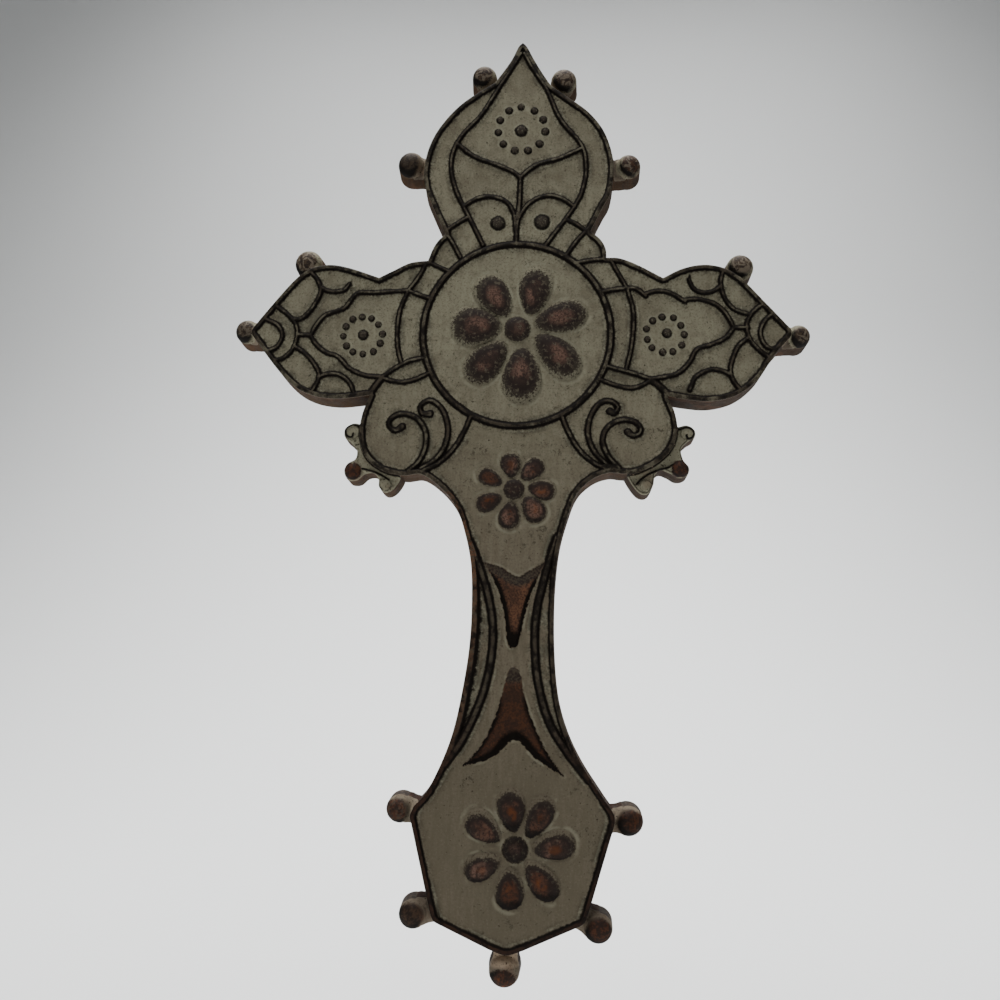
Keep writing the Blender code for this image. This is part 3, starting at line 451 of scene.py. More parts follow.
def allDots():
    made = []
    for centre, radius, count, first in dotRings:
        for k in range(count):
            angle = math.radians(first) + k * 2 * math.pi / count
            made.append((centre[0] + radius * math.cos(angle), centre[1] + radius * math.sin(angle), 1.0))
    made.extend((place[0], place[1], size) for place, size in singleDots)
    wobble = np.random.default_rng(3)
    spread = reliefValues["dotSpread"]
    placed = []
    for x, z, size in made:
        radius = size * reliefValues["dotRadius"] * wobble.uniform(0.93, 1.07)
        radius *= reliefValues["armDots"] if z < 10 else 1 + 0.12 * (size > 1.2)
        placed.append((x + wobble.normal(0, spread), z + wobble.normal(0, spread), radius))
    return placed


def allLines():
    # (stations, half width at each station) of every raised line
    made = []
    for group, middle in lineGroups:
        for name, points in group.items():
            path = smoothPath(points, reliefValues["station"])
            share = np.linspace(0, 1, len(path))
            half = np.full(len(path), middle / 2)
            if name in curlEnds:
                half = middle / 2 * (0.74 + 0.5 * np.sin(math.pi * np.clip(share * 1.15, 0, 1)))
                half = half + 0.85 * np.exp(-(((share - 1) / 0.06) ** 2))
            if name in freeEnds:
                half = half * (1 - 0.45 * np.exp(-(((share - freeEnds[name]) / 0.12) ** 2)))
            if name in taperedStarts:
                half = half * (0.35 + 0.65 * np.clip(share / 0.13, 0, 1))
            if name in spreadEnds:
                half = half + spreadEnds[name] * np.exp(-(((share - 0.6) / 0.16) ** 2))
            made.append((path, half))
    return made


def knobForms():
    wobble = np.random.default_rng(11)
    return [
        {
            "centre": np.array(centre, float),
            "foot": np.array(foot, float),
            "radius": lowValues["knobRadius"] * size - 0.03,
            "lean": wobble.uniform(-0.5, 0.5, 2),
            "front": lowValues["knobFront"] - wobble.uniform(0, 0.35),
            "stray": wobble.normal(0, 0.2, 2) + (0, -0.2)
            + (0.26 if centre[1] < lowValues["bottomKnob"] else 0.1) * (np.array(centre) - foot),
            "paint": paint,
        }
        for (centre, foot, size), paint in zip(knobs, knobPaint)
    ]


def neckLoop(knob):
    # a short bridge, a little pinched in the middle
    path = np.linspace(knob["centre"], knob["foot"], 26)
    share = np.linspace(0, 1, 26)
    half = lowValues["neckWidth"] / 2 * (0.96 + 0.2 * np.clip(np.abs(share - 0.6) / 0.4, 0, 1) ** 2)
    half = np.where(share < 0.5, np.minimum(half, 0.95 * knob["radius"]), half)
    normal = sideways(path)
    return np.vstack([path + normal * half[:, None], (path - normal * half[:, None])[::-1]])


def wedgeRelief(points, name):
    # points on a shaft wedge with their rise over the field, black edges and lower ends of patina and painted
    # shadow, and washed parts
    loop = wedgeLoops[name]
    near = nearby(points, loop, 0.1)
    near = near[insideOf(points[near], loop)]
    p = points[near]
    gap, _ = nearestOn(p, loop, closed=True)
    fallen = np.clip((loop[:, 1].max() - p[:, 1]) / (loop[:, 1].max() - loop[:, 1].min()), 0, 1)
    if name == "wedgeUpper":
        fromTop, _ = nearestOn(p, wedgeTopEdge)
        side = roundTop(1 - np.clip(gap / 1.3, 0, 1), 2.0)
        side = np.where(fromTop < 5, side * (0.3 + 0.7 * fromTop / 5), side)
        rise = side * (0.1 + 1.0 * fallen) - 0.3 * np.exp(-((fromTop / 1.6) ** 2))
        reach = np.where(p[:, 0] < 0.6 - 0.02 * (p[:, 1] + 90), 2.3, 1.7)
        # patina and painted shadow: black along the edges and over the lower end
        sootAndShade = np.clip(1.15 - gap / reach, 0, 1) * easing(fromTop, 0.6, 4.5)
        sootAndShade = np.maximum(sootAndShade, 0.95 * easing(fallen, 0.66, 0.92))
        washed = easing(fromTop, 5.2, 1.2)
    else:
        fromFoot, _ = nearestOn(p, wedgeFootEdge)
        reach = 1.0 + 2.6 * np.clip(1 - np.abs(p[:, 0] - 1.2) / 13, 0, 1)
        side = np.minimum(roundTop(1 - np.clip(gap / 1.2, 0, 1), 2.0), np.clip(fromFoot / reach, 0, 1) ** 0.8)
        fromFold = p[:, 0] - 1.4 - 0.33 * (-122 - p[:, 1])
        fold = 0.16 * np.exp(-((fromFold / 1.1) ** 2)) * easing(fallen, 0.3, 0.6)
        rise = side * (0.35 + 0.95 * fallen + fold)
        # patina and painted shadow: black along the wide foot and the lower edges
        sootAndShade = np.clip(1.3 - 1.3 * fromFoot / (reach + 1.2), 0, 1)
        sootAndShade = np.maximum(sootAndShade, 0.8 * np.clip(1 - gap / 2.6, 0, 1) * easing(fallen, 0.12, 0.4))
        washed = easing(fallen, 0.22, 0.08)
    return near, rise, sootAndShade, washed


def coreOf(points, petal, shift, direction):
    # how deep the point lies in the dark heart of a petal, which is set off its middle
    moved = points - np.array(shift)
    u, w = petalFrame(moved, (petal[0], petal[1], petal[2], direction))
    return np.clip(1 - np.hypot(u, w), 0, 1)


def raiseTo(mask, near, value):
    mask[near] = np.maximum(mask[near], value)


def edgeDrop(gap, radius):
    # how far a rounded edge falls below the flat it ends
    return radius - np.sqrt(np.clip(radius**2 - np.clip(radius - gap, 0, radius) ** 2, 0, None))


def readLines(points, inner):
    # the fields with the rim, the ring and the drawn lines on them
    v = reliefValues
    x, z = points[:, 0], points[:, 1]
    uneven = np.sin(1.7 * x + 0.6 * z) * np.sin(1.3 * z - 0.7 * x + 2) + 0.5 * np.sin(3.1 * z + 2.3 * x)
    uneven = 1 + v["lineUneven"] * uneven
    extra = np.where(x < 0, v["shaftRim"] * np.exp(-(((z + 108) / 30) ** 4)), v["shaftRimRight"])
    extra = extra * easing(z, *v["shaftRimTop"]) * easing(z, *v["shaftRimFoot"])
    rimWidth = (v["rimWidth"] + extra) * uneven
    ridge = roundTop((inner - v["rimCrest"]) / (rimWidth - v["rimCrest"]))
    foot = np.clip(inner - rimWidth, 0, 9)
    fromRing = np.abs(np.hypot(x - ringCentre[0], z - ringCentre[1]) - v["ringRadius"])
    ridge = np.maximum(ridge, roundTop(fromRing / (v["ringWidth"] / 2 * uneven)))
    foot = np.minimum(foot, np.clip(fromRing - v["ringWidth"] / 2, 0, 9))
    for path, half in drawnLines:
        near = nearby(points, path, 5)
        gap, share = nearestOn(points[near], path, widths=half)
        raiseTo(ridge, near, roundTop(share / uneven[near]))
        foot[near] = np.minimum(foot[near], np.clip(gap - half.mean(), 0, 9))
    for loop in filledPatches:
        within = insideOf(points, np.array(loop, float))
        ridge = np.maximum(ridge, 0.9 * within)
        foot[within] = 0
    waves = np.sin(0.31 * x + 0.17 * z + 1) * np.sin(0.23 * z - 0.12 * x) + 0.5 * np.sin(0.9 * x - 0.5 * z)
    level = fieldLevel + v["unevenness"] * waves * np.clip(foot, 0, 1)
    level = level + v["fillet"] * np.exp(-foot / v["filletReach"])
    rimmed = (inner < rimWidth + 0.2) & (z < -52)
    rusty = np.where(x < 0, 0.68 + 0.26 * np.exp(-(((z + 70) / 14) ** 2)), 0.5)
    relief = {name: np.zeros(len(points)) for name in ("form", "core", "wedge")}
    relief["height"] = level + (v["thickness"] - level) * ridge
    relief["ridge"] = ridge
    relief["foot"] = foot
    relief["warm"] = np.where(rimmed, rusty, 0.3)
    relief["inkAndShade"] = np.where(rimmed, 0.55 * np.exp(-((inner / 0.6) ** 2)) * easing(z, -125, -150), 0)
    relief["halo"] = np.full(len(points), farMasks["halo"])
    return relief


def lift(relief, near, share, rise, outside, moat, power):
    # a rounded form on the field, with a shallow dip round its foot
    dip = moat * np.exp(-(((outside - 0.12) / 0.4) ** 2)) * (share >= 1)
    raised = fieldLevel + rise * roundTop(share, power)
    height = relief["height"][near]
    relief["height"][near] = np.where(share < 1, np.maximum(raised, height - moat), height - dip)
    raiseTo(relief["form"], near, share < 1)
    relief["halo"][near] = np.minimum(relief["halo"][near], np.clip(outside, 0, 9))


def raiseFlowers(points, relief):
    v = flowerValues
    core, warm, inkAndShade = relief["core"], relief["warm"], relief["inkAndShade"]
    wobble = np.random.default_rng(5)
    for name, flower in flowers.items():
        look = flowerPaint[name]
        middle, radius = flower["boss"]
        for petal in flower["petals"]:
            centre, halfLength, halfWidth, direction = petal
            near = nearby(points, np.array([centre]), halfLength + 4)
            share = np.hypot(*petalFrame(points[near], petal))
            lift(relief, near, share, v["petalRise"] * halfWidth, (share - 1) * halfWidth, v["moat"], 2.25)
            inward = np.array(middle) - centre
            inward = inward / np.linalg.norm(inward)
            shift = look["inward"] * inward + (0, -look["down"]) + wobble.normal(0, look["stray"], 2)
            deep = coreOf(points[near], petal, shift, direction + wobble.normal(0, 4))
            raiseTo(core, near, deep * (share < 1) * look["cover"])
            warm[near] = np.where(share < 1.2, look["warm"] * wobble.uniform(0.55, 1.3), warm[near])
            # black paint and painted shade: the lower side of each petal is darkened
            under = (centre[1] - points[near, 1]) / (halfWidth + 0.45 * (halfLength - halfWidth))
            raiseTo(inkAndShade, near, look["sootAndShade"] * easing(under, 0.25, 0.95) * (share < 0.97))
        near = nearby(points, np.array([middle]), radius + 3)
        gap = np.hypot(points[near, 0] - middle[0], points[near, 1] - middle[1])
        lift(relief, near, gap / radius, v["bossRise"] * radius, gap - radius, 0.05, 2.2)
        relief["height"][near] -= look["dimple"] * np.exp(-((gap / 0.75) ** 2))
        raiseTo(core, near, 0.46 * np.clip(2.2 - 2 * gap / radius, 0, 1) * (gap < radius))
        warm[near] = np.where(gap < radius, 0.1, warm[near])
        inked = look["bossInk"] * (1 - (look["dimple"] > 0) * np.exp(-((gap / 0.8) ** 2)))
        raiseTo(inkAndShade, near, inked * (gap < radius * 1.05))


def raiseDots(points, relief):
    warm = relief["warm"]
    for x, z, radius in dots:
        near = nearby(points, np.array([(x, z)]), radius + 2)
        gap = np.hypot(points[near, 0] - x, points[near, 1] - z)
        lift(relief, near, gap / radius, reliefValues["dotRise"], gap - radius, 0.06, 2.2)
        raiseTo(relief["core"], near, 0.16 * (gap < radius))
        raiseTo(relief["inkAndShade"], near, (0.16 + 0.5 * easing(gap / radius, 0.4, 0.9)) * (gap < radius * 1.08))
        warm[near] = np.where(gap < radius * 1.3, 0.0, warm[near])


def raiseWedges(points, relief):
    for name, loop in wedgeLoops.items():
        near, rise, sootAndShade, washed = wedgeRelief(points, name)
        relief["height"][near] = fieldLevel + rise
        relief["wedge"][near] = 1
        relief["core"][near] = washed
        raiseTo(relief["inkAndShade"], near, sootAndShade)
        gap, _ = nearestOn(points, loop, closed=True)
        relief["halo"] = np.minimum(relief["halo"], gap)


def readLow(points):
    # the webs, curls, necks and knobs outside the body's outline
    v = lowValues
    low, core, inkAndShade, worn = (np.zeros(len(points)) for _ in range(4))
    warm = np.full(len(points), 0.35)
    wash = np.full(len(points), 0.42)
    for loop in webLoops:
        near = nearby(points, loop, 0.3)
        gap, _ = nearestOn(points[near], loop, closed=True)
        within = insideOf(points[near], loop) | (gap < 0.03)
        fromBody, _ = nearestOn(points[near], bodyLoop, closed=True)
        scoop = np.sin(math.pi * np.clip(fromBody / v["webReach"], 0, 1)) * easing(gap, 0.4, 1.6)
        raiseTo(low, near, within * (v["webLevel"] - edgeDrop(gap, v["webRound"]) - v["webScoop"] * scoop))
        worn[near] = np.where(within, 1.0, worn[near])
        raiseTo(inkAndShade, near, within * 0.62 * np.exp(-(((gap - 0.45) / 0.36) ** 2)))
        raiseTo(inkAndShade, near, within * 0.9 * np.exp(-((fromBody / 0.7) ** 2)))
    for centre, radius in curls:
        near = nearby(points, np.array([centre]), radius)
        gap = np.hypot(points[near, 0] - centre[0], points[near, 1] - centre[1])
        rise = v["curlRise"] * roundTop(gap / radius, 2.0) * easing(low[near], 6, v["webLevel"])
        low[near] = np.where(low[near] > 0, low[near] + rise, low[near])
        raiseTo(inkAndShade, near, 0.55 * np.exp(-(((gap / radius - 0.92) / 0.16) ** 2)))
        brown = (gap < radius * 1.1) & (-48 < centre[1] < -40)
        core[near] = np.where(brown, np.maximum(core[near], 1.0 - 0.6 * gap / radius), core[near])
        warm[near] = np.where(brown, 0.62, warm[near])
        worn[near] = np.where(brown, 0, worn[near])
    for path in curlLines:
        near = nearby(points, path, 1)
        gap, _ = nearestOn(points[near], path)
        rise = v["strokeRise"] * roundTop(gap / (v["strokeWidth"] / 2), 2.0)
        low[near] = np.where(low[near] > 0, low[near] + rise, 0)
        raiseTo(inkAndShade, near, 0.9 * np.exp(-((gap / 0.45) ** 2)))
    for knob in knobForms():
        radius, isBottom = knob["radius"], knob["centre"][1] < v["bottomKnob"]
        loop = neckLoop(knob)
        near = nearby(points, loop, 0.2)
        gap, _ = nearestOn(points[near], loop, closed=True)
        within = insideOf(points[near], loop) | (gap < 0.03)
        raiseTo(low, near, within * (v["neckLevel"] - v["neckSoft"] * edgeDrop(gap, v["neckRound"])))
        # painted light: the bottom knob's neck is painted pale where the body shades it
        if isBottom:
            wash[near] = np.where(within, 0.3, wash[near])
        near = nearby(points, knob["centre"][None], radius + 0.1)
        offset = points[near] - knob["centre"]
        share = np.hypot(offset[:, 0], offset[:, 1]) / radius
        on = share <= 1.01
        top = roundTop(share, 2.1)
        tilt = (offset @ knob["lean"]) * v["knobTilt"] * top
        ball = knob["front"] - v["knobDome"] + v["knobDome"] * top + tilt
        low[near] = np.where(on, np.maximum(low[near], ball), low[near])
        heart = np.hypot(offset[:, 0] - knob["stray"][0], offset[:, 1] - knob["stray"][1]) / radius
        brown, sootAndShade, pale = knob["paint"]
        washed = 0.38 + 0.42 * easing(share, 1.0, 0.7)
        # painted light: the top of the bottom knob's ball is painted pale like its neck
        if isBottom:
            washed = 0.3 + 0.14 * easing(-offset[:, 1] / radius, -0.7, 0.0)
        lower = np.clip((-0.6 * offset[:, 0] - 0.8 * offset[:, 1]) / radius + 0.35, 0, 1)
        edge = np.exp(-(((heart - 0.86) / 0.2) ** 2)) * (0.1 + 0.72 * lower)
        inked = np.clip(edge + sootAndShade * easing(heart, 0.95, 0.6), 0, 1)
        found = (core, np.clip(1.12 - heart, 0, 1)), (warm, brown), (worn, pale), (wash, washed), (inkAndShade, inked)
        for mask, value in found:
            mask[near] = np.where(on, value, mask[near])
    return {"height": low, "core": core, "warm": warm, "inkAndShade": inkAndShade, "side": wash, "worn": worn}


def readRelief(points):
    # the height of the front over the flat back, and the masks that the paint follows
    v = reliefValues
    edge, _ = nearestOn(points, bodyLoop, closed=True)
    body = insideOf(points, bodyLoop) | (edge < 0.02)
    relief = readLines(points, np.where(body, edge, 0))
    raiseFlowers(points, relief)
    raiseDots(points, relief)
    raiseWedges(points, relief)
    relief["height"] = relief["height"] - np.where(body, edgeDrop(edge, v["edgeRound"]), 0)

    low = readLow(points)
    top = v["thickness"] - v["edgeRound"]
    step = np.clip(1 - edge / lowValues["stepFoot"], 0, 1) ** 3
    outer = np.where(low["height"] > 0, low["height"] + np.clip(top - low["height"], 0, None) * step, top)
    low["height"] = np.where(edge < 0.02, top, outer)
    return {
        name: np.where(body, relief.get(name, 0.0), low.get(name, farMasks.get(name, 0.0)))
        for name in ("height",) + maskNames
    }


# Where the mesh has its points: distances in millimetres, or shares of a form's half width or radius
planValues = {
    "bodyInsets": (0.07, 0.18, 0.33, 0.5, 0.75, 1.0, 1.2, 1.38, 1.52, 1.64, 1.76, 2.1,
                   -0.08, -0.2, -0.4, -0.8),
    "ringShares": (-1.5, -1.12, -0.98, -0.86, -0.65, -0.35, 0, 0.35, 0.65, 0.86, 0.98, 1.12, 1.5),
    "lineShares": (-1.6, -1.12, -0.97, -0.82, -0.5, 0, 0.5, 0.82, 0.97, 1.12, 1.6),
    "endShares": (0.5, 0.82, 0.97, 1.12, 1.6),
    "petalShares": (1.28, 1.16, 1.06, 1.0, 0.96, 0.88, 0.77, 0.62, 0.44, 0.22),
    "bossShares": (1.2, 1.07, 1.0, 0.95, 0.85, 0.7, 0.5, 0.25),
    "dotShares": ((1.35, 14), (1.0, 14), (0.9, 14), (0.68, 10), (0.35, 6)),     # each with a count of points
    "wedgeInsets": (-0.4, 0.0, 0.12, 0.35, 0.7, 1.1, 1.7, 2.4, 3.2),
    "webInsets": (0.06, 0.2, 0.45, 0.8, 1.1, 1.6),
    "strokeInsets": (0.55, 0.3, 0, -0.3, -0.55),
    "curlShares": (0.95, 0.75, 0.5, 0.2),
    "knobShares": (0.985, 0.95, 0.89, 0.8, 0.68, 0.53, 0.36, 0.18),
    "neckInsets": (0.1, 0.4, 0.9),
    "cell": 0.16,           # one point at most in each square of this size
}


def besidePath(path, insets, closed=True):
    normal = sideways(path, closed)
    return [path - normal * inset for inset in insets]


def samplePlan():
    # points along every form
    v = planValues
    made = besidePath(bodyLoop, v["bodyInsets"])
    radius, halfRing = reliefValues["ringRadius"], reliefValues["ringWidth"] / 2
    count = int(2 * math.pi * radius / reliefValues["station"])
    made += [ringOf(ringCentre, radius + share * halfRing, count) for share in v["ringShares"]]
    for path, half in drawnLines:
        normal = sideways(path)
        made += [path + normal * (half * share)[:, None] for share in v["lineShares"]]
        made += [ringOf(path[end], half[end] * share, 12) for end in (0, -1) for share in v["endShares"]]
    for flower in flowers.values():
        for petal in flower["petals"]:
            count = int(24 + 4 * petal[2])
            made += [petalRing(petal, share, count if share > 0.5 else count // 2)
                     for share in v["petalShares"]]
            made.append(np.array([petal[0]]))
        centre, radius = flower["boss"]
        made += [ringOf(centre, radius * share, 30 if share > 0.6 else 14) for share in v["bossShares"]]
        made.append(np.array([centre]))
    for x, z, radius in dots:
        made += [ringOf((x, z), radius * share, count) for share, count in v["dotShares"]]
        made.append(np.array([(x, z)]))
    for loop in wedgeLoops.values():
        made += besidePath(loop, v["wedgeInsets"])
    for loop in webLoops:
        made += besidePath(loop, v["webInsets"])
    for path in curlLines:
        made += besidePath(path, v["strokeInsets"], closed=False)
    for centre, radius in curls:
        made += [ringOf(centre, radius * share, 18) for share in v["curlShares"]]
    for knob in knobForms():
        made += [ringOf(knob["centre"], knob["radius"] * share, 42 if share > 0.5 else 20)
                 for share in v["knobShares"]]
        made.append(knob["centre"][None])
        made += besidePath(neckLoop(knob), v["neckInsets"])
    points = np.vstack(made)
    cells = np.round(points / v["cell"]).astype(int)
    _, first = np.unique(cells, axis=0, return_index=True)
    return points[np.sort(first)]


def fillPoints(spacing):
    # jittered points for the plain fields
    rng = np.random.default_rng(7)
    low = bodyLoop.min(axis=0) - 8
    high = bodyLoop.max(axis=0) + 8
    xs = np.arange(low[0], high[0], spacing)
    zs = np.arange(low[1], high[1], spacing * 0.87)
    grid = np.array([(x + (spacing / 2 if k % 2 else 0), z) for k, z in enumerate(zs) for x in xs])
    grid = grid + rng.uniform(-0.18, 0.18, grid.shape) * spacing
    grid = grid[covered(grid)]
    found = readRelief(grid)
    plain = (found["foot"] > 0.75) & (found["halo"] > 0.9) & (found["form"] < 0.5)
    return grid[plain & ((found["side"] < 0.1) | (found["core"] < 0.01))]


def covered(points):
    found = insideOf(points, bodyLoop)
    for loop in webLoops:
        found |= insideOf(points, loop)
    for knob in knobForms():
        found |= insideOf(points, ringOf(knob["centre"], knob["radius"], 60))
        found |= insideOf(points, neckLoop(knob))
    return found


def boundaryLoop(faces):
    # the open edge of the front, in order
    edges = np.vstack([faces[:, [0, 1]], faces[:, [1, 2]], faces[:, [2, 0]]])
    keys = np.sort(edges, axis=1)
    _, where, counts = np.unique(keys, axis=0, return_index=True, return_counts=True)
    following = {int(a): int(b) for a, b in edges[where[counts == 1]]}
    loops = []
    while following:
        start, place = following.popitem()
        loop = [start]
        while place != start:
            loop.append(place)
            place = following.pop(place)
        loops.append(loop)
    return max(loops, key=len)


def boundedPlan():
    # all the points, and the edges of the outlines that bound the front, less what lies inside another form
    plan = [samplePlan(), fillPoints(reliefValues["fill"])]
    edges = []
    total = sum(len(points) for points in plan)
    outlines = [bodyLoop] + webLoops
    inner = [None] * len(outlines)
    for knob in knobForms():
        outlines += [ringOf(knob["centre"], knob["radius"], 60), neckLoop(knob)]
        inner += [None, ringOf(knob["centre"], knob["radius"] - 0.04, 60)]
    for k, (loop, cover) in enumerate(zip(outlines, inner)):
        hidden = insideOf(loop, bodyLoop) & (k > 0)
        if cover is not None:
            hidden |= insideOf(loop, cover)
        kept = ~(hidden & np.roll(hidden, 1) & np.roll(hidden, -1))
        number = total + np.cumsum(kept) - 1
        following = np.roll(np.arange(len(loop)), -1)
        edges += [(int(number[i]), int(number[j])) for i, j in enumerate(following)
                  if kept[i] and kept[j] and not (hidden[i] and hidden[j])]
        plan.append(loop[kept])
        total += int(kept.sum())
    return np.vstack(plan), edges


def buildFront():
    points, edges = boundedPlan()
    found = delaunay_2d_cdt([Vector(p) for p in points.tolist()], edges, [], 0, 0.03)
    places = np.array([tuple(p) for p in found[0]])
    faces = np.array([tuple(face) for face in found[2]])
    faces = faces[covered(places[faces].mean(axis=1))]
    used, faces = np.unique(faces, return_inverse=True)
    print("front", len(used), "points")
    return places[used], faces.reshape(-1, 3)


def plainMasks(count, **given):
    # the masks of so many points on the walls or the back
    given = {"warm": 0.4} | farMasks | given
    return {name: np.full(count, given.get(name, 0.0)) for name in maskNames}


def wallRows(rim, rimHeight):
    # rows of points from the front's edge down to the back, with their masks
    v = wallValues
    outward = sideways(rim, closed=True) * -1
    brown = np.zeros(len(rim))
    for knob in knobForms():
        if knob["centre"][1] < v["brownKnobs"]:
            brown[np.hypot(*(rim - knob["centre"]).T) < knob["radius"] + 0.1] = 0.42
    made = []
    for share in v["rows"]:
        spread = v["draft"] * min(share, v["rows"][-2]) - (v["backInset"] if share == 1.0 else 0)
        place = rim + outward * spread
        masks = plainMasks(len(rim), side=min(1.0, 0.8 + share * 5))
        masks["core"] = brown
        dark = max(0, 1 - share / 0.2) * (0.3 + 0.4 * easing(rim[:, 1], -50, -70))
        masks["inkAndShade"] = np.where(rimHeight > 10.5, dark, 0)
        made.append((np.column_stack([place[:, 0], -rimHeight * (1 - share), place[:, 1]]), masks))
    return made


def buildBack(loop, firstOfLoop, total):
    # points inside the back's edge, and its faces
    low, high = loop.min(axis=0), loop.max(axis=0)
    spacing = wallValues["backGrid"]
    across, upward = np.arange(low[0], high[0], spacing), np.arange(low[1], high[1], spacing)
    grid = np.array([(x, z) for z in upward for x in across])
    grid = grid[insideOf(grid, loop)]
    gap, _ = nearestOn(grid, loop, closed=True)
    grid = grid[gap > spacing / 3]
    edges = [(i, (i + 1) % len(loop)) for i in range(len(loop))]
    found = delaunay_2d_cdt([Vector(p) for p in np.vstack([loop, grid]).tolist()], edges, [], 1, 1e-6)
    number, extra = {}, []
    for k, origin in enumerate(found[3]):
        if origin and min(origin) < len(loop):
            number[k] = firstOfLoop + min(origin)
        else:
            number[k] = total + len(extra)
            extra.append(tuple(found[0][k]))
    extra = np.array(extra)
    points = np.column_stack([extra[:, 0], np.zeros(len(extra)), extra[:, 1]])
    return points, [tuple(number[k] for k in reversed(face)) for face in found[2]]


def buildCross():
    places, front = buildFront()
    relief = readRelief(places)
    loop = np.array(boundaryLoop(front))
    layers = [(np.column_stack([places[:, 0], -relief["height"], places[:, 1]]), relief)]
    layers += wallRows(places[loop], relief["height"][loop])
    count = len(loop)
    rows = [loop] + [len(places) + k * count + np.arange(count) for k in range(len(wallValues["rows"]))]
    walls = [np.column_stack([np.roll(upper, -1), upper, lower, np.roll(lower, -1)])
             for upper, lower in zip(rows[:-1], rows[1:])]
    backPoints, back = buildBack(layers[-1][0][:, [0, 2]], int(rows[-1][0]), int(rows[-1][-1]) + 1)
    layers.append((backPoints, plainMasks(len(backPoints), side=1.0)))

    verts = np.vstack([points for points, _ in layers]) / 1000
    mesh = bpy.data.meshes.new("cross")
    mesh.from_pydata(verts.tolist(), [], front.tolist() + np.vstack(walls).tolist() + back)
    mesh.validate()
    for name in maskNames:
        attribute = mesh.attributes.new(name, "FLOAT", "POINT")
        values = np.concatenate([masks[name] for _, masks in layers])
        attribute.data.foreach_set("value", values.astype(np.float32))
    mesh.shade_smooth()
    mesh.set_sharp_from_angle(angle=math.radians(wallValues["sharpFrom"]))
    cross = bpy.data.objects.new("cross_cast", mesh)
    bpy.context.scene.collection.objects.link(cross)
    cross.data.materials.append(paintedResin())
    print("cross", len(mesh.vertices), "points", sum(len(p.vertices) - 2 for p in mesh.polygons), "triangles")
    return cross


paintValues = {
    "paintedHighlight": (0.250, 0.240, 0.172, 1),    # painted highlight beside the raised forms
    "pale": (0.218, 0.206, 0.144, 1),      # the dry-brushed wash
    "field": (0.172, 0.160, 0.111, 1),
    "lowPale": (0.152, 0.132, 0.094, 1),   # the same two, browner towards the foot
    "lowField": (0.110, 0.092, 0.063, 1),
    "shade": (0.092, 0.078, 0.054, 1),
    "murk": (0.044, 0.038, 0.027, 1),
    "black": (0.0058, 0.0043, 0.0034, 1),
    "crest": (0.040, 0.032, 0.0225, 1),    # tops of the raised lines
    "washed": (0.092, 0.082, 0.057, 1),    # where the wash crosses them
    "rosy": (0.120, 0.068, 0.050, 1),
    "brown": (0.055, 0.0235, 0.0135, 1),
    "lowRust": (0.055, 0.0245, 0.0135, 1),
    "umber": (0.050, 0.036, 0.024, 1),
    "dark": (0.0200, 0.0140, 0.0118, 1),
    "orange": (0.150, 0.043, 0.010, 1),
    "taupe": (0.140, 0.114, 0.084, 1),     # fronts of the webs and necks
    "neckPaintedLight": (0.290, 0.222, 0.156, 1),   # painted light: the bottom knob's neck and ball top, pale against the body's shade, faintly also at each knob's edge
    "wall": (0.042, 0.022, 0.010, 1),
    "lowWall": (0.024, 0.0112, 0.0075, 1),
    "rust": (0.108, 0.051, 0.029, 1),
}
# Scale, detail, roughness and bend of each pattern in the paint
patternValues = {
    "cloud": (38, 4, 0.6),
    "streak": (620, 4, 0.6),        # brush marks along the cross
    "grain": (1450, 4, 0.68),
    "dust": (760, 4, 0.72),
    "patch": (300, 4, 0.65),
    "blotch": (130, 3, 0.6),
    "speck": (1100, 2, 0.5),
    "wallStreak": (420, 4, 0.6),    # brush marks from front to back
    "swirl": (330, 3, 0.6, 2.2),
}
finishValues = {
    "roughness": (0.68, 0.85),
    "specular": 0.04,
    "coat": 0.08,           # a thin satin coat where the paint is thick and dark
    "coatRoughness": 0.42,
    "bump": 0.6,
    "bumpDepth": 0.0002,
}


def addNode(tree, kind, **inputs):
    # inputs are given by name, or as i0, i1 and so on by number
    made = tree.nodes.new(kind)
    for name, value in inputs.items():
        key = int(name[1:]) if name[1:].isdigit() else name
        setInput(tree, made.inputs[key], value)
    return made


def setInput(tree, socket, value):
    if isinstance(value, bpy.types.NodeSocket):
        tree.links.new(value, socket)
    else:
        socket.default_value = value


def mathNode(tree, operation, a, b=0.0, clamp=False):
    made = addNode(tree, "ShaderNodeMath", i0=a, i1=b)
    made.operation = operation
    made.use_clamp = clamp
    return made.outputs[0]


def rangeNode(tree, value, low, high, outLow=0.0, outHigh=1.0):
    made = addNode(tree, "ShaderNodeMapRange", i0=value, i1=low, i2=high, i3=outLow, i4=outHigh)
    made.interpolation_type = "SMOOTHSTEP"
    return made.outputs[0]


def mixNode(tree, share, a, b):
    made = tree.nodes.new("ShaderNodeMix")
    made.data_type = "RGBA"
    for k, value in ((0, share), (6, a), (7, b)):
        setInput(tree, made.inputs[k], value)
    return made.outputs[2]


def noiseNode(tree, vector, scale, detail, rough, bend=0.0):
    made = addNode(tree, "ShaderNodeTexNoise", Vector=vector, Scale=scale, Detail=detail, Roughness=rough)
    made.inputs["Distortion"].default_value = bend
    return made.outputs[0]


def maskNode(tree, name):
    made = tree.nodes.new("ShaderNodeAttribute")
    made.attribute_name = name
    return made.outputs["Fac"]


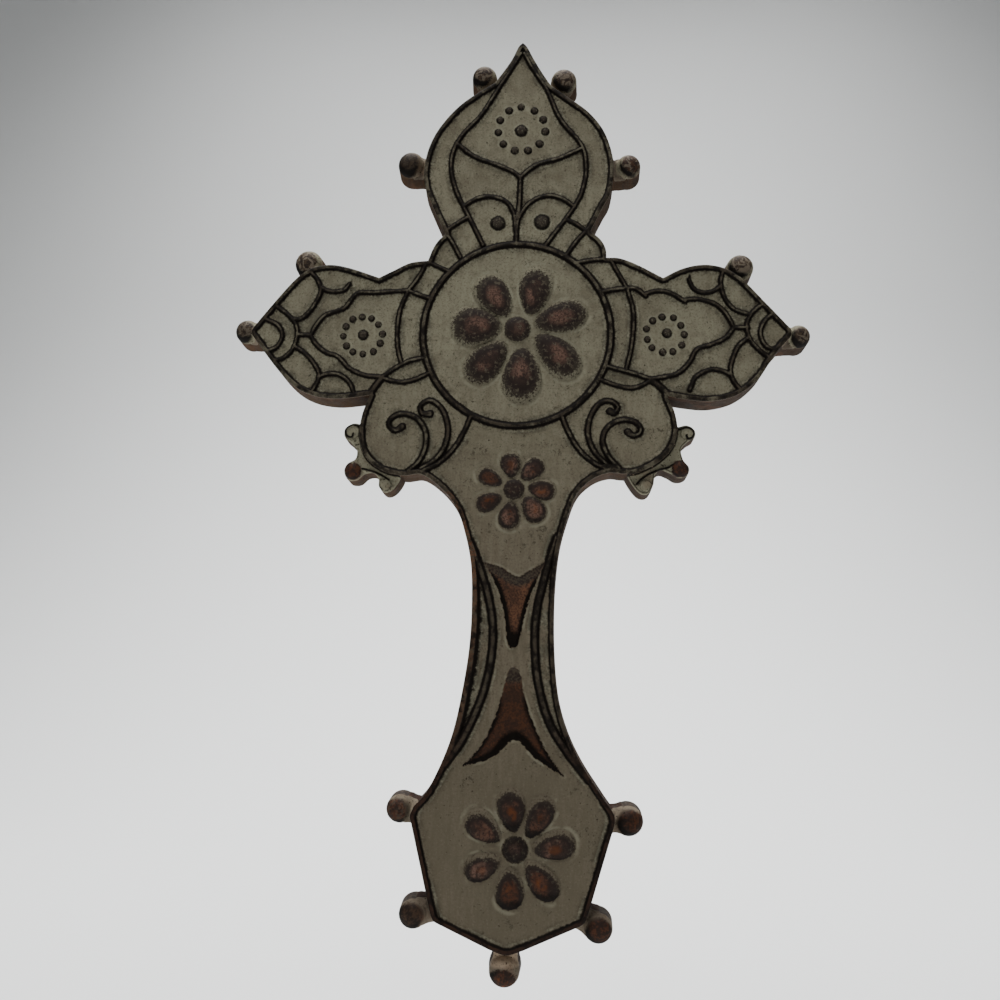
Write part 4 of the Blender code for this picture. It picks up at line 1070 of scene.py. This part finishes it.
def paintedResin():
    c, f = paintValues, finishValues
    material = bpy.data.materials.new("painted_resin")
    material.use_nodes = True
    tree = material.node_tree
    shader = tree.nodes["Principled BSDF"]
    mix, ramp = partial(mixNode, tree), partial(rangeNode, tree)
    plus, minus, times = (partial(mathNode, tree, name) for name in ("ADD", "SUBTRACT", "MULTIPLY"))

    def layered(base, *layers):
        # paint each layer over the last: what it follows, where it starts and is full, how strong, its colour
        for follows, start, full, strong, colour in layers:
            base = mix(ramp(follows, start, full, 0.0, strong), base, colour)
        return base

    place = tree.nodes.new("ShaderNodeTexCoord").outputs["Object"]
    lengthways = addNode(tree, "ShaderNodeMapping", Vector=place, Scale=(1.0, 1.0, 0.16)).outputs[0]
    frontToBack = addNode(tree, "ShaderNodeMapping", Vector=place, Scale=(1.0, 0.2, 1.0)).outputs[0]
    vectors = {"streak": lengthways, "wallStreak": frontToBack}
    patterns = [noiseNode(tree, vectors.get(name, place), *values) for name, values in patternValues.items()]
    cloud, streak, grain, dust, patch, blotch, speck, wallStreak, swirl = patterns
    ridge, foot, form, core, warm, inkAndShade, halo, wedge, side, worn = (maskNode(tree, name) for name in maskNames)
    across, _, height = addNode(tree, "ShaderNodeSeparateXYZ", Vector=place).outputs
    ragged = plus(times(minus(patch, 0.5), 0.5), times(minus(grain, 0.5), 0.6))

    # dry-brushed fields, browner towards the foot, with painted shade over the top lobe and the foot
    lowered = ramp(height, 0.015, -0.085)
    under = mix(lowered, c["field"], c["lowField"])
    over = mix(lowered, c["pale"], c["lowPale"])
    sooty = plus(dust, times(minus(blotch, 0.5), 0.5))
    field = layered(
        mix(ramp(streak, 0.34, 0.7, 0.1, 0.7), under, over),
        # painted shade: darker over the top lobe and towards the foot
        (height, 0.025, 0.06, 0.22, c["shade"]),
        (height, -0.115, -0.15, 0.45, c["shade"]),
        (cloud, 0.42, 0.7, 0.5, c["shade"]),
        (patch, 0.46, 0.66, 0.3, c["shade"]),
        (grain, 0.5, 0.64, 0.62, c["shade"]),
        (grain, 0.44, 0.32, 0.45, over),
        (sooty, 0.6, 0.72, 0.75, c["murk"]),
        (speck, 0.7, 0.74, 0.8, c["dark"]),
    )

    # a painted highlight beside the raised forms, a patchy haze of dirt and painted shade near them, and
    # black wash at their feet
    near = mathNode(tree, "MINIMUM", foot, plus(halo, 0.3))
    # painted highlight: a pale line beside the raised forms, where a lit fillet would catch the light
    highlightLine = times(times(ramp(near, 0.3, 0.6), ramp(near, 1.4, 0.8)), ramp(blotch, 0.42, 0.6, 0.0, 0.75))
    highlightLine = times(highlightLine, ramp(halo, 1.2, 1.8, 0.6, 1.0))
    field = mix(highlightLine, field, c["paintedHighlight"])
    # partly dirt, partly painted shade: a dark haze near the feet of the raised forms
    haze = times(ramp(foot, 2.6, 0.2), ramp(plus(blotch, ragged), 0.34, 0.66))
    field = mix(times(haze, 0.9), field, c["murk"])
    field = layered(field, (minus(foot, times(ragged, 0.8)), 0.52, 0.04, 1.0, c["black"]))

    # raised lines with browner crests
    rubbed = times(ramp(plus(blotch, ragged), 0.46, 0.66), ramp(height, -0.06, -0.045, 0.3, 0.95))
    lineTop = mix(rubbed, c["crest"], c["washed"])
    lineTop = mix(times(ramp(warm, 0.45, 0.95), ramp(grain, 0.62, 0.46)), lineTop, c["rust"])
    lineTop = layered(lineTop, (height, -0.115, -0.145, 0.85, c["lowWall"]))
    crest = times(ramp(plus(ridge, times(ragged, 0.22)), 0.84, 0.99), ramp(patch, 0.36, 0.58, 0.1, 1.0))
    line = mix(crest, c["black"], lineTop)
    paint = layered(field, (plus(ridge, times(ragged, 0.8)), 0.1, 0.5, 1.0, line))

    # petals: washed and speckled flanks, and a dark brown heart with a ragged edge
    deep = plus(core, times(ragged, 0.62))
    flank = mix(ramp(plus(grain, times(core, 1.5)), 0.5, 0.72, 0.15, 0.9), field, c["dark"])
    middle = mix(ramp(warm, 0.35, 0.7), c["rosy"], c["brown"])
    heart = layered(
        mix(ramp(deep, 0.34, 0.66), c["dark"], middle),
        (blotch, 0.52, 0.4, 0.85, c["dark"]),
        (grain, 0.46, 0.58, 0.75, c["dark"]),
        (dust, 0.44, 0.34, 0.55, c["dark"]),
    )
    dusted = ramp(minus(dust, times(core, 0.16)), 0.47, 0.58, 0.0, 0.75)
    heart = mix(times(dusted, ramp(warm, 0.3, 0.6, 1.0, 0.5)), heart, c["shade"])
    glow = times(ramp(deep, 0.78, 1.15), ramp(patch, 0.4, 0.56))
    heart = mix(times(glow, times(warm, 0.8), clamp=True), heart, c["orange"])
    paint = mix(form, paint, layered(flank, (deep, 0.14, 0.32, 1.0, heart)))

    # the shaft's wedges, murky where the wash covers them and, under the upper wedge's top edge, with painted
    # shadow
    murky = mix(ramp(plus(grain, times(ragged, 0.4)), 0.36, 0.64), c["murk"], c["dark"])
    stain = layered(
        mix(ramp(height, -0.1, -0.118), c["rust"], c["lowRust"]),
        (grain, 0.4, 0.62, 0.7, c["dark"]),
        (patch, 0.55, 0.4, 0.5, c["dark"]),
        (plus(core, ragged), 0.3, 0.8, 0.9, murky),
    )
    paint = mix(wedge, paint, stain)

    # walls, necks and webs
    onWall = ramp(side, 0.45, 0.9)
    wall = layered(
        mix(onWall, c["taupe"], c["wall"]),
        # painted shade: the walls on the right side are darker
        (across, 0.02, 0.05, 0.5, c["dark"]),
        (height, -0.125, -0.15, 1.0, mix(onWall, c["taupe"], c["lowWall"])),
        (wallStreak, 0.46, 0.7, 0.55, c["dark"]),
    )
    wall = layered(
        mix(times(worn, 0.85), wall, c["pale"]),
        # painted light: pale where the body shades the bottom knob's neck
        (side, 0.4, 0.32, 1.0, c["neckPaintedLight"]),
        (blotch, 0.5, 0.64, 0.3, c["rust"]),
        (grain, 0.52, 0.66, 0.5, c["murk"]),
        (speck, 0.64, 0.7, 0.8, c["black"]),
    )

    # knobs, brown under dark swirls and licks of orange
    ball = mix(ramp(warm, 0.35, 0.6), c["umber"], c["brown"])
    ball = layered(ball, (plus(dust, times(ragged, 0.4)), 0.42, 0.56, 0.9, c["dark"]))
    ball = mix(times(ramp(swirl, 0.48, 0.58, 0.0, 0.9), worn), ball, c["taupe"])
    licks = times(times(ramp(deep, 0.45, 0.9), ramp(streak, 0.5, 0.62)), ramp(warm, 0.5, 1.1))
    ball = mix(licks, ball, c["orange"])
    paint = layered(paint, (side, 0.05, 0.3, 1.0, layered(wall, (deep, 0.2, 0.4, 1.0, ball))))

    # black: ink and patina, and painted shade on the lower sides of petals and wedges
    paint = layered(paint, (plus(inkAndShade, times(ragged, 0.7)), 0.25, 0.75, 1.0, c["black"]))
    setInput(tree, shader.inputs["Base Color"], paint)
    setInput(tree, shader.inputs["Roughness"], ramp(patch, 0.3, 0.7, *f["roughness"]))
    shader.inputs["Specular IOR Level"].default_value = f["specular"]
    thick = mathNode(tree, "MAXIMUM", ramp(ridge, 0.6, 1.0), ramp(deep, 0.1, 0.3))
    setInput(tree, shader.inputs["Coat Weight"], times(thick, f["coat"]))
    shader.inputs["Coat Roughness"].default_value = f["coatRoughness"]
    texture = plus(times(streak, 0.35), times(grain, 0.6))
    bump = addNode(tree, "ShaderNodeBump", Strength=f["bump"], Distance=f["bumpDepth"], Height=texture)
    setInput(tree, shader.inputs["Normal"], bump.outputs[0])
    return material


stageValues = {
    "floorLevel": -0.30,
    "backdropAt": 1.6,
    "backdropHeight": 2.4,
    "bend": 0.9,
    "halfWidth": 3.2,
    "nearEdge": -1.8,
    "colour": (0.72, 0.73, 0.725, 1),
}


def addStage():
    v = stageValues
    middle, halfDepth = (v["backdropAt"] + v["nearEdge"]) / 2, (v["backdropAt"] - v["nearEdge"]) / 2
    bpy.ops.mesh.primitive_plane_add(size=2, location=(0, middle, v["floorLevel"]))
    floor = bpy.context.object
    floor.name = "floor"
    bpy.ops.transform.resize(value=(v["halfWidth"], halfDepth, 1))
    bpy.ops.object.transform_apply(location=True, rotation=True, scale=True)

    def selectEdge():
        bpy.ops.object.mode_set(mode="OBJECT")
        for part in (floor.data.vertices, floor.data.edges, floor.data.polygons):
            part.foreach_set("select", [False] * len(part))
        for edge in floor.data.edges:
            ends = [floor.data.vertices[k].co for k in edge.vertices]
            offsets = [abs(p.y - v["backdropAt"]) + abs(p.z - v["floorLevel"]) for p in ends]
            edge.select = max(offsets) < 1e-4
        bpy.ops.object.mode_set(mode="EDIT")
        bpy.ops.mesh.select_mode(type="EDGE")

    selectEdge()
    bpy.ops.mesh.extrude_region_move(TRANSFORM_OT_translate={"value": (0, 0, v["backdropHeight"])})
    selectEdge()
    bpy.ops.mesh.bevel(offset=v["bend"], segments=20, affect="EDGES")
    bpy.ops.object.mode_set(mode="OBJECT")
    bpy.ops.object.shade_smooth()
    paper = bpy.data.materials.new("paper")
    paper.use_nodes = True
    shader = paper.node_tree.nodes["Principled BSDF"]
    shader.inputs["Base Color"].default_value = v["colour"]
    shader.inputs["Roughness"].default_value = 0.9
    floor.data.materials.append(paper)
    bpy.ops.object.select_all(action="DESELECT")
    print("floor and backdrop ready")


lightValues = [
    # name, place, aimed at, size, watts and how wide it spreads in degrees
    ("key", (-0.14, -0.36, 0.64), (0, 0, 0.04), 0.5, 4.45, 180),
    ("fill", (-0.6, -1.2, -0.1), (0, 0, -0.05), 1.0, 1.0, 180),
    ("ceiling", (0, 0.5, 1.5), (0, 0.85, -0.3), 1.5, 36, 105),
]
worldValues = {"colour": (0.97, 0.98, 1.0, 1), "strength": 0.2}


def addLights():
    for name, place, aim, size, watts, spread in lightValues:
        bpy.ops.object.light_add(type="AREA", location=place)
        light = bpy.context.object
        light.name = name
        light.data.size = size
        light.data.energy = watts
        light.data.spread = math.radians(spread)
        light.rotation_euler = (Vector(place) - Vector(aim)).to_track_quat("Z", "Y").to_euler()
        light.visible_camera = False
    world = bpy.data.worlds.new("studio")
    world.use_nodes = True
    background = world.node_tree.nodes["Background"]
    background.inputs["Color"].default_value = worldValues["colour"]
    background.inputs["Strength"].default_value = worldValues["strength"]
    bpy.context.scene.world = world
    bpy.ops.object.select_all(action="DESELECT")
    print("lights ready")


cameraValues = {
    "place": (0.0095, -0.3274, -0.1011),
    "right": (0.99892, 0.04148, 0.02075),
    "up": (-0.01446, -0.14648, 0.98911),
    "lens": 36.0,
    "sensor": 36.0,
}


def addCamera():
    v = cameraValues
    right, up = Vector(v["right"]), Vector(v["up"])
    bpy.ops.object.camera_add(location=v["place"])
    camera = bpy.context.object
    camera.data.lens = v["lens"]
    camera.data.sensor_width = v["sensor"]
    turned = Matrix((right, up, right.cross(up))).transposed().to_4x4()
    camera.matrix_world = Matrix.Translation(v["place"]) @ turned
    bpy.context.scene.camera = camera
    bpy.ops.object.select_all(action="DESELECT")


bodyLoop = runLoop(outlineRuns, reliefValues["station"])
drawnLines = allLines()
dots = allDots()
webLoops = [smoothPath(web, 0.5) for web in webs]
curlLines = [smoothPath(path, 0.5) for path in curlStrokes]
wedgeLoops = {name: runLoop(runs, 0.6) for name, runs in wedges.items()}
wedgeTopEdge = smoothPath(wedges["wedgeUpper"][0], 0.6)
wedgeFootEdge = smoothPath(wedges["wedgeLower"][1], 0.6)
print("drawing ready", len(bodyLoop), "outline stations", len(drawnLines), "lines")

addStage()
addLights()
addCamera()
cross = buildCross()
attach(cross, "root")
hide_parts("cross")
print("cross in place")
